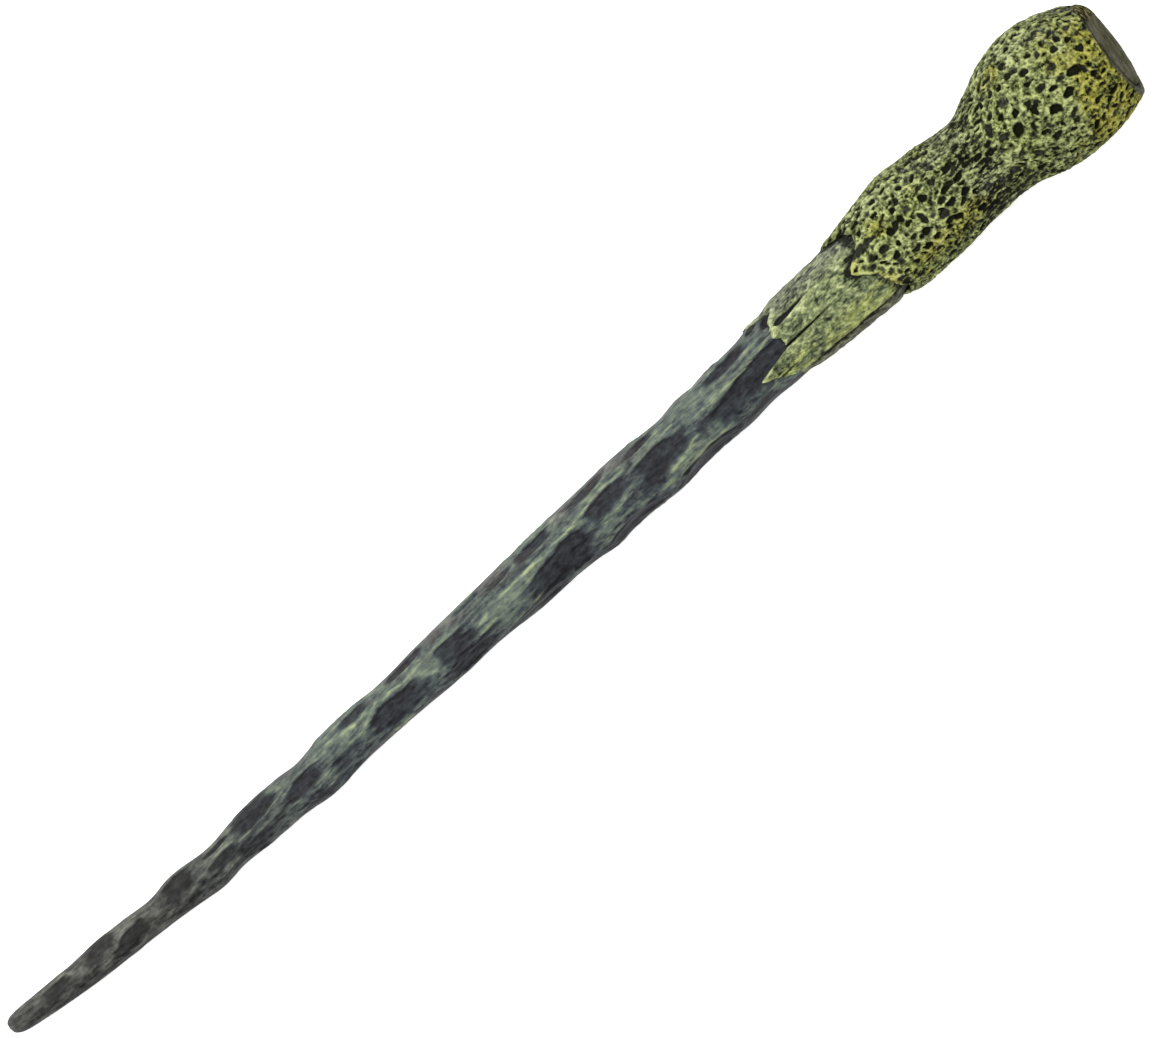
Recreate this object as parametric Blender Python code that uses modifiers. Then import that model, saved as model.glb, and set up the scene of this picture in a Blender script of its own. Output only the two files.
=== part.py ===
"""A carved magic wand lying at rest, made of its separate pieces.

Places along the wand are stations: the distance in millimetres from the tip, along +X. Angles
go round the X axis, from +Y towards +Z, so 90 degrees is the side that faces up at rest.
Every piece hangs on the empty wand_axis, which lays the finished wand down on Z = 0 so that it
rests on the bulb of the handle and on the shaft near the tip.
"""

import math

import bmesh
import bpy
import numpy as np
from mathutils import Matrix, Vector

MM = 0.001
FIT_GAP = 0.3

# The wand's middle line wanders a little: (station, y, z).
MIDDLE_LINE = (
    (0, 4.1, 0.9), (12, 3.0, 0.6), (30, 1.6, 0.1), (55, 0.2, -0.3), (75, -0.2, -0.3),
    (130, -0.4, 0.3), (200, -1.0, 0.6), (245, -0.5, 0.2), (290, 0.4, 0.0), (312, -0.1, 0.0),
    (340, 0.8, 0.0), (358, 0.1, 0.0),
)

# Outer shapes, as (station, radius).
NIB = ((0, 0.0), (0.15, 1.1), (0.8, 1.9), (2.2, 2.6), (5, 3.1))
SHAFT_RADIUS = ((5, 3.1), (20, 3.8), (60, 4.8), (110, 6.2), (150, 6.9), (200, 8.1), (240, 8.5), (262, 8.7))
CORE_RADIUS = (
    (288.6, 10.8), (296, 11.5), (308, 10.8), (316, 10.5), (323, 11.8), (331, 14.8),
    (340, 15.9), (346, 15.0), (350, 12.8), (353, 11.0), (360, 10.7),
)
BARK_RADIUS = (
    (277, 12.1), (287, 13.5), (296, 14.1), (308, 13.2), (316, 12.8), (323, 14.1), (331, 17.2),
    (340, 18.25), (348, 17.4), (353, 15.9), (357, 14.2), (362, 12.9),
)

# Whittled hollows on the side facing up: (station, angle, length).
FACE_SCALLOPS = (
    (16, 98, 8), (28, 70, 10), (37, 108, 11), (52, 80, 13), (66, 115, 11), (79, 66, 15),
    (94, 84, 11), (105, 122, 10), (113, 48, 13), (124, 105, 16), (131, 22, 12), (145, 90, 17),
    (151, 158, 13), (169, 50, 17), (178, 110, 21), (193, 82, 15), (198, 158, 14), (212, 88, 18),
    (218, 160, 15), (231, 52, 24), (240, 107, 26),
)
BACK_SHIFT = 5
BACK_TURN = 183
SCALLOP_WIDTH_PER_RADIUS = 0.95
SCALLOP_DEPTH_PER_RADIUS = 0.12
BALL_HEIGHT_PER_DEPTH = 3

# The joint of shaft and handle: a tenon on the shaft in a socket of the handle core.
SHAFT_ROOT = 262
SOCKET_END = 288.6
TENON_RADIUS = 5.0
ROOT_RADIUS = 8.7

# The straight steel rod inside, and the line it lies on.
ROD_RADIUS = 1.5
ROD_START = 75
ROD_END = 346.5
ROD_Y = -0.4
ROD_Z = 0.2
ROD_CHAMFER = 0.3

# Strips of under-bark on the shaft's root:
# name, first and last angle, then the torn end's angle and station, and its two corners' stations.
STRIPS = (
    ("underbark_upper_strip", 1, 57, 20, 245.5, 250, 254),
    ("underbark_middle_strip", 61, 95, 76, 250.5, 252, 252),
    ("underbark_lower_strip", 99, 177, 113, 240.7, 251, 255),
    ("underbark_back_strip", 181, 357, 265, 242, 254, 249),
)
STRIP_INNER_RADIUS = 9.0
STRIP_FULL_THICKNESS = 1.7
STRIP_TORN_SHARE = 0.4
STRIP_FULL_STATION = 268
STRIP_END = 288.3
TONGUE_ROUNDING = 0.75

# A strip's grid: rows along it, drawn together towards the torn end, and a column every few degrees.
STRIP_ROWS = 8
ROW_CROWDING = 1.3
COLUMN_DEGREES = 10

# The bark's torn lower edge: (angle, station), once round.
BARK_TORN_EDGE = (
    (0, 272.8), (14, 273.6), (26, 277), (36, 279.6), (60, 280.3), (70, 279), (78, 276), (85, 274.8),
    (95, 276), (108, 279), (121, 280.6), (134, 281.3), (152, 282.8), (180, 282), (225, 277),
    (262, 282), (300, 275.5), (335, 278), (360, 272.8),
)
BARK_EDGE = 277
BARK_EDGE_BLEND = 290
BARK_OVER_STRIPS_RADIUS = 11.1
STRIP_POCKET_END = 284

# Low lobes of the bark: share of the radius, how many round it, millimetres along for each radian.
BARK_LOBES = ((0.016, 2, 18), (0.012, 3, -11))

# Pits stand in rows round the bark; their size and place swing a little from one to the next.
FIRST_PIT_ROW = 288
LAST_PIT_ROW = 351.8
PIT_ROW_SPACING = 7.6
PIT_SPACING = 10.5
PIT_RADIUS = 1.8
PIT_RAISED_PER_RADIUS = 0.35
PIT_SIZE_SWING = 0.25
PIT_SIZE_PHASE = (2.4, 1.9)
PIT_PLACE_SWING = 1.2
PIT_PLACE_PHASE = (1.3, 2.3)

# The slanted end of the pommel, and the cap let into it.
END_STATION = 357.8
END_TURN_SIDEWAYS = -6
END_TURN_UP = 8
CAP_RADIUS = 12.3
CAP_THICKNESS = 4.0
CAP_PROUD = 0.4
CAP_CHAMFER = 0.25
SPIGOT_RADIUS = 4.0
SPIGOT_LENGTH = 6.4
ROD_BORE_END = 351.8

# How far a cutter reaches past the face that it opens, and a form into the piece that it joins.
OVERCUT = 5
OVERLAP = 1

# The block that cuts the pommel's end off.
BLOCK_RADIUS = 30
BLOCK_HEIGHT = 20

# Sides of the round shapes, and steps between the stations of their outlines.
ROD_SIDES = 16
SHAFT_SIDES = 16
TENON_SIDES = 24
CORE_SIDES = 24
BARK_SIDES = 32
CAP_SIDES = 40
BLOCK_SIDES = 12
SHAFT_STEP = 7
CORE_STEP = 4
BARK_STEP = 3.6

# The search for the tilt at which the wand rests on both ends.
MOST_TILT = 6
TILT_HALVINGS = 40


def clear_scene():
    for item in list(bpy.data.objects):
        bpy.data.objects.remove(item)


def new_collection(name, parent=None):
    collection = bpy.data.collections.new(name)
    (parent or bpy.context.scene.collection).children.link(collection)
    return collection


def new_material(name, colour, roughness, metallic=0.0):
    material = bpy.data.materials.new(name)
    material.use_nodes = True
    shader = material.node_tree.nodes["Principled BSDF"]
    shader.inputs["Base Color"].default_value = (*colour, 1)
    shader.inputs["Roughness"].default_value = roughness
    shader.inputs["Metallic"].default_value = metallic
    return material


def smooth_value(points, x, column=1):
    """The value at x of a smooth curve through points, whose first column is x."""
    if x <= points[0][0]:
        return points[0][column]
    if x >= points[-1][0]:
        return points[-1][column]
    i = max(k for k in range(len(points) - 1) if points[k][0] <= x)

    def slope(k):
        low, high = max(k - 1, 0), min(k + 1, len(points) - 1)
        return (points[high][column] - points[low][column]) / (points[high][0] - points[low][0])

    span = points[i + 1][0] - points[i][0]
    t = (x - points[i][0]) / span
    return (
        (2 * t**3 - 3 * t**2 + 1) * points[i][column]
        + (t**3 - 2 * t**2 + t) * span * slope(i)
        + (3 * t**2 - 2 * t**3) * points[i + 1][column]
        + (t**3 - t**2) * span * slope(i + 1)
    )


def sampled(points, first, last, step):
    """(station, radius) at even stations from first to last, both included."""
    count = max(1, round(abs(last - first) / step))
    stations = [first + (last - first) * k / count for k in range(count + 1)]
    return [(station, smooth_value(points, station)) for station in stations]


def core_outline():
    """The outline that the handle core and the inside of the bark share."""
    return sampled(CORE_RADIUS, SOCKET_END, CORE_RADIUS[-1][0], CORE_STEP)


def middle(station):
    return Vector((station, smooth_value(MIDDLE_LINE, station, 1), smooth_value(MIDDLE_LINE, station, 2)))


def on_wand(station, radius, angle):
    """The point in metres at this station, radius and angle in radians round the middle line."""
    outward = Vector((0, math.cos(angle), math.sin(angle)))
    return (middle(station) + radius * outward) * MM


def add_piece(name, mesh, collection, material, sharp_angle=40):
    mesh.shade_smooth()
    mesh.set_sharp_from_angle(angle=math.radians(sharp_angle))
    piece = bpy.data.objects.new(name, mesh)
    piece.data.materials.append(material)
    collection.objects.link(piece)
    return piece


def add_cutter(name, mesh, collection, matrix=None):
    cutter = bpy.data.objects.new(name, mesh)
    cutter.matrix_world = matrix or Matrix.Identity(4)
    cutter.hide_render = True
    cutter.display_type = "WIRE"
    collection.objects.link(cutter)
    return cutter


def combine(piece, other, operation="DIFFERENCE"):
    """A Boolean of the piece with another object, or with every object of a collection."""
    modifier = piece.modifiers.new(other.name, "BOOLEAN")
    modifier.solver = "EXACT"
    modifier.operation = operation
    if isinstance(other, bpy.types.Collection):
        modifier.operand_type = "COLLECTION"
        modifier.collection = other
    else:
        modifier.object = other


def finished_mesh(name, bm):
    bmesh.ops.recalc_face_normals(bm, faces=bm.faces)
    mesh = bpy.data.meshes.new(name)
    bm.to_mesh(mesh)
    bm.free()
    return mesh


def cylinder_mesh(name, radius, low, high, sides):
    """A closed cylinder along Z, from low to high, in millimetres."""
    bm = bmesh.new()
    bmesh.ops.create_cone(
        bm, cap_ends=True, segments=sides, radius1=radius * MM, radius2=radius * MM, depth=(high - low) * MM
    )
    bmesh.ops.translate(bm, verts=bm.verts, vec=(0, 0, (high + low) / 2 * MM))
    return finished_mesh(name, bm)


def turned_mesh(name, profile, sides, closed_loop=False):
    """Spins a (station, radius) profile round the X axis, with a flat side facing down."""
    outline = bpy.data.meshes.new(name + "_profile")
    ends = [(k, k + 1) for k in range(len(profile) - 1)]
    if closed_loop:
        ends.append((len(profile) - 1, 0))
    outline.from_pydata([(station * MM, radius * MM, 0) for station, radius in profile], ends, [])
    spinner = bpy.data.objects.new(name + "_profile", outline)
    bpy.context.scene.collection.objects.link(spinner)
    screw = spinner.modifiers.new("Spin", "SCREW")
    screw.axis = "X"
    screw.steps = screw.render_steps = sides
    screw.use_merge_vertices = True
    screw.merge_threshold = 0.00001
    evaluated = spinner.evaluated_get(bpy.context.evaluated_depsgraph_get())
    bm = bmesh.new()
    bm.from_mesh(evaluated.to_mesh())
    bpy.data.objects.remove(spinner)
    bmesh.ops.remove_doubles(bm, verts=bm.verts, dist=0.00001)
    bmesh.ops.rotate(bm, verts=bm.verts, matrix=Matrix.Rotation(math.pi / sides, 3, "X"))
    return finished_mesh(name, bm)


def bend_to_middle_line(mesh):
    for vertex in mesh.vertices:
        centre = middle(vertex.co.x / MM)
        vertex.co.y += centre.y * MM
        vertex.co.z += centre.z * MM


def along_rod():
    """Turns a cylinder made along Z onto the rod's line, so that its heights are stations."""
    return Matrix.Translation((0, ROD_Y * MM, ROD_Z * MM)) @ Matrix.Rotation(math.pi / 2, 4, "Y")


def end_frame():
    """The frame of the pommel's slanted end: its Z axis is the face's outward normal."""
    sideways, up = math.radians(END_TURN_SIDEWAYS), math.radians(END_TURN_UP)
    normal = Vector((1, math.tan(sideways), math.tan(up)))
    return Matrix.Translation(middle(END_STATION) * MM) @ normal.to_track_quat("Z", "Y").to_matrix().to_4x4()


def make_rod(parts):
    steel = new_material("rod_steel", (0.56, 0.57, 0.58), 0.35, metallic=1.0)
    mesh = cylinder_mesh("core_rod", ROD_RADIUS, ROD_START, ROD_END, ROD_SIDES)
    rod = add_piece("core_rod", mesh, parts, steel)
    rod.matrix_world = along_rod()
    bevel = rod.modifiers.new("End chamfer", "BEVEL")
    bevel.width = ROD_CHAMFER * MM
    bevel.segments = 1


def scallop_cutters(collection):
    ball = bmesh.new()
    bmesh.ops.create_uvsphere(ball, u_segments=12, v_segments=8, radius=MM)
    ball_mesh = finished_mesh("scallop_ball", ball)
    face = list(FACE_SCALLOPS)
    back = [(station + BACK_SHIFT, angle + BACK_TURN, length) for station, angle, length in FACE_SCALLOPS]
    for number, (station, angle, length) in enumerate(face + back):
        radius = smooth_value(SHAFT_RADIUS, station)
        depth = SCALLOP_DEPTH_PER_RADIUS * radius
        height = BALL_HEIGHT_PER_DEPTH * depth
        spread = math.sqrt(1 - ((height - depth) / height) ** 2)
        turn = math.radians(angle)
        scale = Matrix.Diagonal(
            (length / 2 / spread, SCALLOP_WIDTH_PER_RADIUS * radius / 2 / spread, height, 1)
        )
        upright = Matrix.Rotation(turn - math.pi / 2, 4, "X")
        place = Matrix.Translation(on_wand(station, radius + height - depth, turn))
        add_cutter(f"scallop_cutter_{number:02d}", ball_mesh, collection, place @ upright @ scale)


def make_shaft(parts, cutters):
    charcoal = new_material("shaft_charcoal", (0.035, 0.045, 0.045), 0.6)
    profile = list(NIB) + sampled(SHAFT_RADIUS, NIB[-1][0], SHAFT_ROOT, SHAFT_STEP)[1:] + [(SHAFT_ROOT, 0)]
    mesh = turned_mesh("shaft", profile, SHAFT_SIDES)
    bend_to_middle_line(mesh)
    shaft = add_piece("shaft", mesh, parts, charcoal)
    tenon = cylinder_mesh("tenon", TENON_RADIUS, SHAFT_ROOT - OVERCUT, SOCKET_END - FIT_GAP, TENON_SIDES)
    combine(shaft, add_cutter("tenon_form", tenon, cutters, along_rod()), "UNION")
    scallops = new_collection("shaft_scallops", cutters)
    scallop_cutters(scallops)
    combine(shaft, scallops)
    bore_radius, bore_start = ROD_RADIUS + FIT_GAP, ROD_START - FIT_GAP
    bore = cylinder_mesh("shaft_bore", bore_radius, bore_start, SOCKET_END + OVERCUT, ROD_SIDES)
    combine(shaft, add_cutter("shaft_bore_cutter", bore, cutters, along_rod()))


def make_handle_core(parts, cutters):
    resin = new_material("core_resin", (0.30, 0.27, 0.21), 0.7)
    start = SHAFT_ROOT + FIT_GAP
    profile = [(start, 0), (start, ROOT_RADIUS), (SOCKET_END, ROOT_RADIUS)]
    profile += core_outline() + [(CORE_RADIUS[-1][0], 0)]
    mesh = turned_mesh("handle_core", profile, CORE_SIDES)
    bend_to_middle_line(mesh)
    core = add_piece("handle_core", mesh, parts, resin)
    socket = cylinder_mesh("socket", TENON_RADIUS + FIT_GAP, SHAFT_ROOT - OVERCUT, SOCKET_END, TENON_SIDES)
    combine(core, add_cutter("socket_cutter", socket, cutters, along_rod()))
    bore = cylinder_mesh("core_bore", ROD_RADIUS + FIT_GAP, SOCKET_END - OVERCUT, ROD_BORE_END, ROD_SIDES)
    combine(core, add_cutter("core_bore_cutter", bore, cutters, along_rod()))
    seat = CAP_PROUD - CAP_THICKNESS - FIT_GAP
    end_block = cylinder_mesh("core_end", BLOCK_RADIUS, seat, BLOCK_HEIGHT, BLOCK_SIDES)
    combine(core, add_cutter("core_end_cutter", end_block, cutters, end_frame()))
    recess_floor = seat - SPIGOT_LENGTH
    recess = cylinder_mesh("spigot_recess", SPIGOT_RADIUS + FIT_GAP, recess_floor, OVERCUT, TENON_SIDES)
    combine(core, add_cutter("spigot_recess_cutter", recess, cutters, end_frame()))


def torn_station(angle, first, last, tip_angle, tip, first_corner, last_corner):
    """Where a strip's torn end lies at this angle: a tongue between two corners."""
    if angle < tip_angle:
        share, corner = (tip_angle - angle) / (tip_angle - first), first_corner
    else:
        share, corner = (angle - tip_angle) / (last - tip_angle), last_corner
    return tip + (corner - tip) * share**TONGUE_ROUNDING


def make_strip(parts, material, name, first, last, *torn_end):
    """A curved patch of under-bark, thin at its torn end, thickened outwards."""
    columns = round((last - first) / COLUMN_DEGREES)
    bm = bmesh.new()
    bmesh.ops.create_grid(bm, x_segments=STRIP_ROWS, y_segments=max(4, columns), size=0.5)
    mesh = finished_mesh(name, bm)
    thin = []
    for vertex in mesh.vertices:
        angle = first + (last - first) * (0.5 - vertex.co.y)
        start = torn_station(angle, first, last, *torn_end)
        station = start + (STRIP_END - start) * (vertex.co.x + 0.5) ** ROW_CROWDING
        vertex.co = on_wand(station, STRIP_INNER_RADIUS, math.radians(angle))
        grown = min(1, max(0, (station - start) / (STRIP_FULL_STATION - start)))
        thin.append(STRIP_TORN_SHARE + (1 - STRIP_TORN_SHARE) * grown)
    strip = add_piece(name, mesh, parts, material)
    group = strip.vertex_groups.new(name="thickness")
    for index, weight in enumerate(thin):
        group.add([index], weight, "REPLACE")
    solidify = strip.modifiers.new("Thickness", "SOLIDIFY")
    solidify.thickness = STRIP_FULL_THICKNESS * MM
    solidify.offset = 1
    solidify.vertex_group = group.name


def swing(phase, row, number):
    """A number from -1 to 1 that differs from one pit to the next."""
    return math.sin(phase[0] * row + phase[1] * number)


def pit_cutters(collection):
    """Round pits in staggered rows over the bark, each row's size and place a little different."""
    ball = bmesh.new()
    bmesh.ops.create_uvsphere(ball, u_segments=6, v_segments=6, radius=MM)
    ball_mesh = finished_mesh("pit_ball", ball)
    rows = int((LAST_PIT_ROW - FIRST_PIT_ROW) / PIT_ROW_SPACING) + 1
    for row in range(rows):
        station = FIRST_PIT_ROW + row * PIT_ROW_SPACING
        surface = smooth_value(BARK_RADIUS, station)
        count = round(2 * math.pi * surface / PIT_SPACING)
        for number in range(count):
            size = PIT_RADIUS * (1 + PIT_SIZE_SWING * swing(PIT_SIZE_PHASE, row, number))
            angle = 2 * math.pi * (number + 0.5 * (row % 2)) / count
            shift = PIT_PLACE_SWING * swing(PIT_PLACE_PHASE, row, number)
            raised = surface + PIT_RAISED_PER_RADIUS * size
            place = Matrix.Translation(on_wand(station + shift, raised, angle))
            upright = Matrix.Rotation(angle - math.pi / 2, 4, "X")
            name = f"pit_cutter_{row:02d}_{number:02d}"
            add_cutter(name, ball_mesh, collection, place @ upright @ Matrix.Scale(size, 4))


def lobe_share(station, angle):
    """How far the bark's lobes stand out here, as a share of its radius."""
    return sum(share * math.sin(count * angle + station / pace) for share, count, pace in BARK_LOBES)


def roughen_bark(mesh):
    """Gives the bark its torn lower edge and its low lobes, then bends it to the middle line."""
    for vertex in mesh.vertices:
        station = vertex.co.x / MM
        radius = math.hypot(vertex.co.y, vertex.co.z) / MM
        angle = math.atan2(vertex.co.z, vertex.co.y) % (2 * math.pi)
        inner = smooth_value(CORE_RADIUS, station) + 2 * FIT_GAP
        if radius > max(inner, BARK_OVER_STRIPS_RADIUS + FIT_GAP):
            radius *= 1 + lobe_share(station, angle)
        near_edge = max(0, (BARK_EDGE_BLEND - station) / (BARK_EDGE_BLEND - BARK_EDGE))
        station += near_edge * (smooth_value(BARK_TORN_EDGE, math.degrees(angle)) - BARK_EDGE)
        vertex.co = on_wand(station, radius, angle)


def make_bark(parts, cutters):
    bark_paint = new_material("bark_moss", (0.30, 0.36, 0.06), 0.75)
    outer = sampled(BARK_RADIUS, BARK_EDGE, BARK_RADIUS[-1][0], BARK_STEP)
    inner = [(station, radius + FIT_GAP) for station, radius in reversed(core_outline())]
    inner += [(STRIP_POCKET_END, BARK_OVER_STRIPS_RADIUS), (BARK_EDGE, BARK_OVER_STRIPS_RADIUS)]
    mesh = turned_mesh("grip_bark", outer + inner, BARK_SIDES, closed_loop=True)
    roughen_bark(mesh)
    bark = add_piece("grip_bark", mesh, parts, bark_paint)
    end_block = cylinder_mesh("bark_end", BLOCK_RADIUS, 0, BLOCK_HEIGHT, BLOCK_SIDES)
    combine(bark, add_cutter("bark_end_cutter", end_block, cutters, end_frame()))
    seat = CAP_PROUD - CAP_THICKNESS - FIT_GAP
    seat_mesh = cylinder_mesh("cap_seat", CAP_RADIUS + FIT_GAP, seat, BLOCK_HEIGHT, CAP_SIDES)
    combine(bark, add_cutter("cap_seat_cutter", seat_mesh, cutters, end_frame()))
    pits = new_collection("bark_pits", cutters)
    pit_cutters(pits)
    combine(bark, pits)


def make_cap(parts, cutters):
    grey = new_material("cap_grey", (0.11, 0.12, 0.11), 0.6)
    underside = CAP_PROUD - CAP_THICKNESS
    disc = cylinder_mesh("pommel_cap", CAP_RADIUS, underside, CAP_PROUD, CAP_SIDES)
    cap = add_piece("pommel_cap", disc, parts, grey)
    cap.matrix_world = end_frame()
    bevel = cap.modifiers.new("Rim chamfer", "BEVEL")
    bevel.width = CAP_CHAMFER * MM
    bevel.segments = 1
    spigot_end = underside - SPIGOT_LENGTH + FIT_GAP
    spigot = cylinder_mesh("spigot", SPIGOT_RADIUS, spigot_end, underside + OVERLAP, TENON_SIDES)
    combine(cap, add_cutter("spigot_form", spigot, cutters, end_frame()), "UNION")


def all_points(parts):
    """Every point of every finished piece, in metres."""
    graph = bpy.context.evaluated_depsgraph_get()
    found = []
    for piece in parts.objects:
        evaluated = piece.evaluated_get(graph)
        found += [evaluated.matrix_world @ vertex.co for vertex in evaluated.data.vertices]
    return np.array([tuple(point) for point in found])


def tilted(points, tilt):
    """The points turned about Y, so that the pommel end rises by tilt radians."""
    x, y, z = points.T
    return np.stack(
        [x * math.cos(tilt) - z * math.sin(tilt), y, x * math.sin(tilt) + z * math.cos(tilt)], axis=1
    )


def lay_down(parts, cutters):
    """Hangs everything on wand_axis, tilts it until bulb and tip are equally low, and sets it on Z = 0."""
    points = all_points(parts)
    fore = points[:, 0] < SHAFT_ROOT / 2 * MM
    low, high = 0.0, math.radians(MOST_TILT)
    for _ in range(TILT_HALVINGS):
        tilt = (low + high) / 2
        z = tilted(points, tilt)[:, 2]
        if z[fore].min() > z[~fore].min():
            low = tilt
        else:
            high = tilt
    laid = tilted(points, tilt)
    centre = (laid.min(axis=0) + laid.max(axis=0)) / 2
    wand_axis = bpy.data.objects.new("wand_axis", None)
    parts.objects.link(wand_axis)
    wand_axis.rotation_euler = (0, -tilt, 0)
    wand_axis.location = (-centre[0], -centre[1], -laid[:, 2].min())
    for item in list(parts.objects) + list(cutters.all_objects):
        if item is not wand_axis:
            item.parent = wand_axis


def main():
    clear_scene()
    parts = new_collection("magic_wand")
    cutters = new_collection("cutters")
    make_rod(parts)
    make_shaft(parts, cutters)
    make_handle_core(parts, cutters)
    underbark = new_material("underbark_green", (0.17, 0.23, 0.08), 0.65)
    for strip in STRIPS:
        make_strip(parts, underbark, *strip)
    make_bark(parts, cutters)
    make_cap(parts, cutters)
    bpy.context.view_layer.update()
    lay_down(parts, cutters)


main()
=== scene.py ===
"""Looks for the magic wand: carved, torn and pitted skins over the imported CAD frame, and their paint.

Places follow the CAD's own rule: a station is the distance in millimetres from the tip along
the wand, and angles in degrees go round it from +Y towards +Z, so 90 is the side that faces up.
Each skin is a grid of stations and angles, raised and sunk by a relief worked out here. Its
points carry masks, such as how deep in a pit they lie, and the paint reads those masks.
"""

import math
from itertools import product
from math import radians

import bpy
import numpy as np
from mathutils import Matrix, Vector


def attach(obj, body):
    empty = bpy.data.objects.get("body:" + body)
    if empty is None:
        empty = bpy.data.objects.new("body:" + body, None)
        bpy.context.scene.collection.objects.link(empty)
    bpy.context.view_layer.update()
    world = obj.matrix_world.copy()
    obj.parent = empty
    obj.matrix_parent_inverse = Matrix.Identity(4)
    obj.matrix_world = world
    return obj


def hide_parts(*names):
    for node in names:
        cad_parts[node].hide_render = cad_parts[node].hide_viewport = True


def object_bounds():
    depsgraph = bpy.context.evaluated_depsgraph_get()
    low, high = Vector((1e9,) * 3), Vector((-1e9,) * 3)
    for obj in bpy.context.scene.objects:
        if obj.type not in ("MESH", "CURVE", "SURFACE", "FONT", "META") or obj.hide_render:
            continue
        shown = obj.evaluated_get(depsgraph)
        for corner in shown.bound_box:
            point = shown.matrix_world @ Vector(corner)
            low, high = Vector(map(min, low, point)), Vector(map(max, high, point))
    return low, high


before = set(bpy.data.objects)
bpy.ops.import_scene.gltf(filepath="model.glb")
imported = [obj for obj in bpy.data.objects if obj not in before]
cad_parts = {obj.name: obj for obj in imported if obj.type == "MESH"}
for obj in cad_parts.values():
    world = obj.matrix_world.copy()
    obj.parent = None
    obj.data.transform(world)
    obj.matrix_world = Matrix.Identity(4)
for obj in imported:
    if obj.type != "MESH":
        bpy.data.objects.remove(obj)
scene = bpy.context.scene
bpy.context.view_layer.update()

# ---------------- shapes shared with the CAD model

MIDDLE_LINE = (  # station, y, z
    (0, 4.1, 0.9), (12, 3.0, 0.6), (30, 1.6, 0.1), (55, 0.2, -0.3), (75, -0.2, -0.3),
    (130, -0.4, 0.3), (200, -1.0, 0.6), (245, -0.5, 0.2), (290, 0.4, 0.0), (312, -0.1, 0.0),
    (340, 0.8, 0.0), (358, 0.1, 0.0),
)
SHAFT_RADIUS = (  # station, radius
    (0, 0.0), (0.15, 1.1), (0.8, 1.9), (2.2, 2.6), (5, 3.1), (20, 3.8), (60, 4.8), (110, 6.2),
    (150, 6.9), (200, 8.1), (240, 8.5), (262, 8.7),
)
BARK_RADIUS = (  # station, radius
    (270, 11.6), (277, 12.1), (287, 13.5), (296, 14.1), (308, 13.2), (316, 12.8), (323, 14.1),
    (331, 17.2), (340, 18.25), (348, 17.4), (353, 15.9), (357, 14.2), (362, 12.9),
)
ROD_START = 75
ROD_Y, ROD_Z = -0.4, 0.2
SHAFT_ROOT = 262
STRIP_INNER_RADIUS = 9.0
STRIP_END = 288.3
BARK_INNER_RADIUS = 11.1
END_STATION = 357.8
END_TURN_SIDEWAYS, END_TURN_UP = -6, 8
CAP_RADIUS, CAP_THICKNESS, CAP_PROUD = 12.3, 4.0, 0.4
CAP_SEAT_RADIUS = 12.6

# ---------------- shapes chosen for the skins

# How far each side stands out from the plain taper, as (station, millimetres).
SHAFT_UPPER_SIDE = (
    (0, -0.1), (20, -0.4), (29, 0.0), (38, -0.3), (46, -0.8), (54, 0.2), (65, -0.8), (76, 0.1),
    (88, -0.2), (95, -1.0), (103, -0.2), (113, -0.2), (122, -0.9), (136, -0.4), (150, -0.1),
    (165, 0.1), (185, 0.2), (198, 0.1), (206, -0.2), (216, -1.0), (223, -0.5), (227, -0.9),
    (232, -0.5), (242, -0.4), (248, 0.4), (262, 0.4),
)
SHAFT_LOWER_SIDE = (
    (0, -0.2), (10, 0.0), (24, 0.2), (44, -0.1), (54, 0.3), (62, 0.8), (69, -0.1), (78, 0.2),
    (88, 0.0), (96, 1.0), (104, 0.3), (112, -0.3), (127, -0.3), (138, 0.0), (152, -0.5),
    (164, -0.1), (174, -0.4), (183, -0.1), (188, 0.5), (194, -0.1), (200, -0.2), (209, 0.5),
    (218, -0.2), (224, -0.2), (232, 0.3), (240, -0.1), (248, 0.4), (262, 0.4),
)
BARK_UPPER_SIDE = (
    (272, -1.6), (277, -1.15), (281, -0.8), (288, -0.5), (296, -0.15), (305, 0.1), (311, -0.5),
    (317, -0.8), (323, 0.0), (332, -0.4), (344, -0.4), (350, -0.7), (356, -1.2),
)
BARK_LOWER_SIDE = (
    (272, -0.4), (281, -0.4), (287, -0.15), (296, -0.4), (308, -0.2), (314, 0.1), (323, -0.2),
    (335, -0.1), (344, -0.1), (350, -0.1), (356, 0.2),
)
# The whittled hollows: station, angle, length, width in degrees, and how dark the wash lies in them.
HOLLOWS = (
    (15.5, 80, 9, 70, 0.75), (29.5, 55, 10, 84, 0.75), (38, 100, 9, 62, 1), (53.5, 66, 11, 84, 0.9),
    (66.5, 51, 9, 20, 0.8), (66, 102, 11, 48, 0.85), (79.5, 52, 13, 84, 1), (80, 130, 17, 52, 0.35),
    (94, 91, 12, 46, 1), (101, 150, 12, 34, 0.5), (106, 113, 12, 32, 0.5), (113, 48, 10, 34, 0.7),
    (123, 115, 19, 72, 1), (130, 38, 12, 24, 0.8), (142.5, 90, 13, 52, 0.95), (145, 136, 20, 44, 0.75),
    (152, 30, 9, 18, 0.6), (161, 46, 9, 16, 0.7), (174, 44, 12, 28, 0.85), (175, 113, 25, 68, 1),
    (166, 158, 20, 40, 0.75), (190, 34, 15, 26, 0.65), (194, 80, 15, 40, 1), (196, 158, 18, 46, 0.9),
    (208, 38, 10, 22, 0.65), (210.5, 92, 17, 58, 0.9), (219, 158, 20, 44, 0.95), (237, 42, 17, 32, 0.9),
    (240, 103, 28, 52, 1), (247, 26, 4, 14, 1), (251, 43, 4.5, 18, 1),
)
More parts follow.
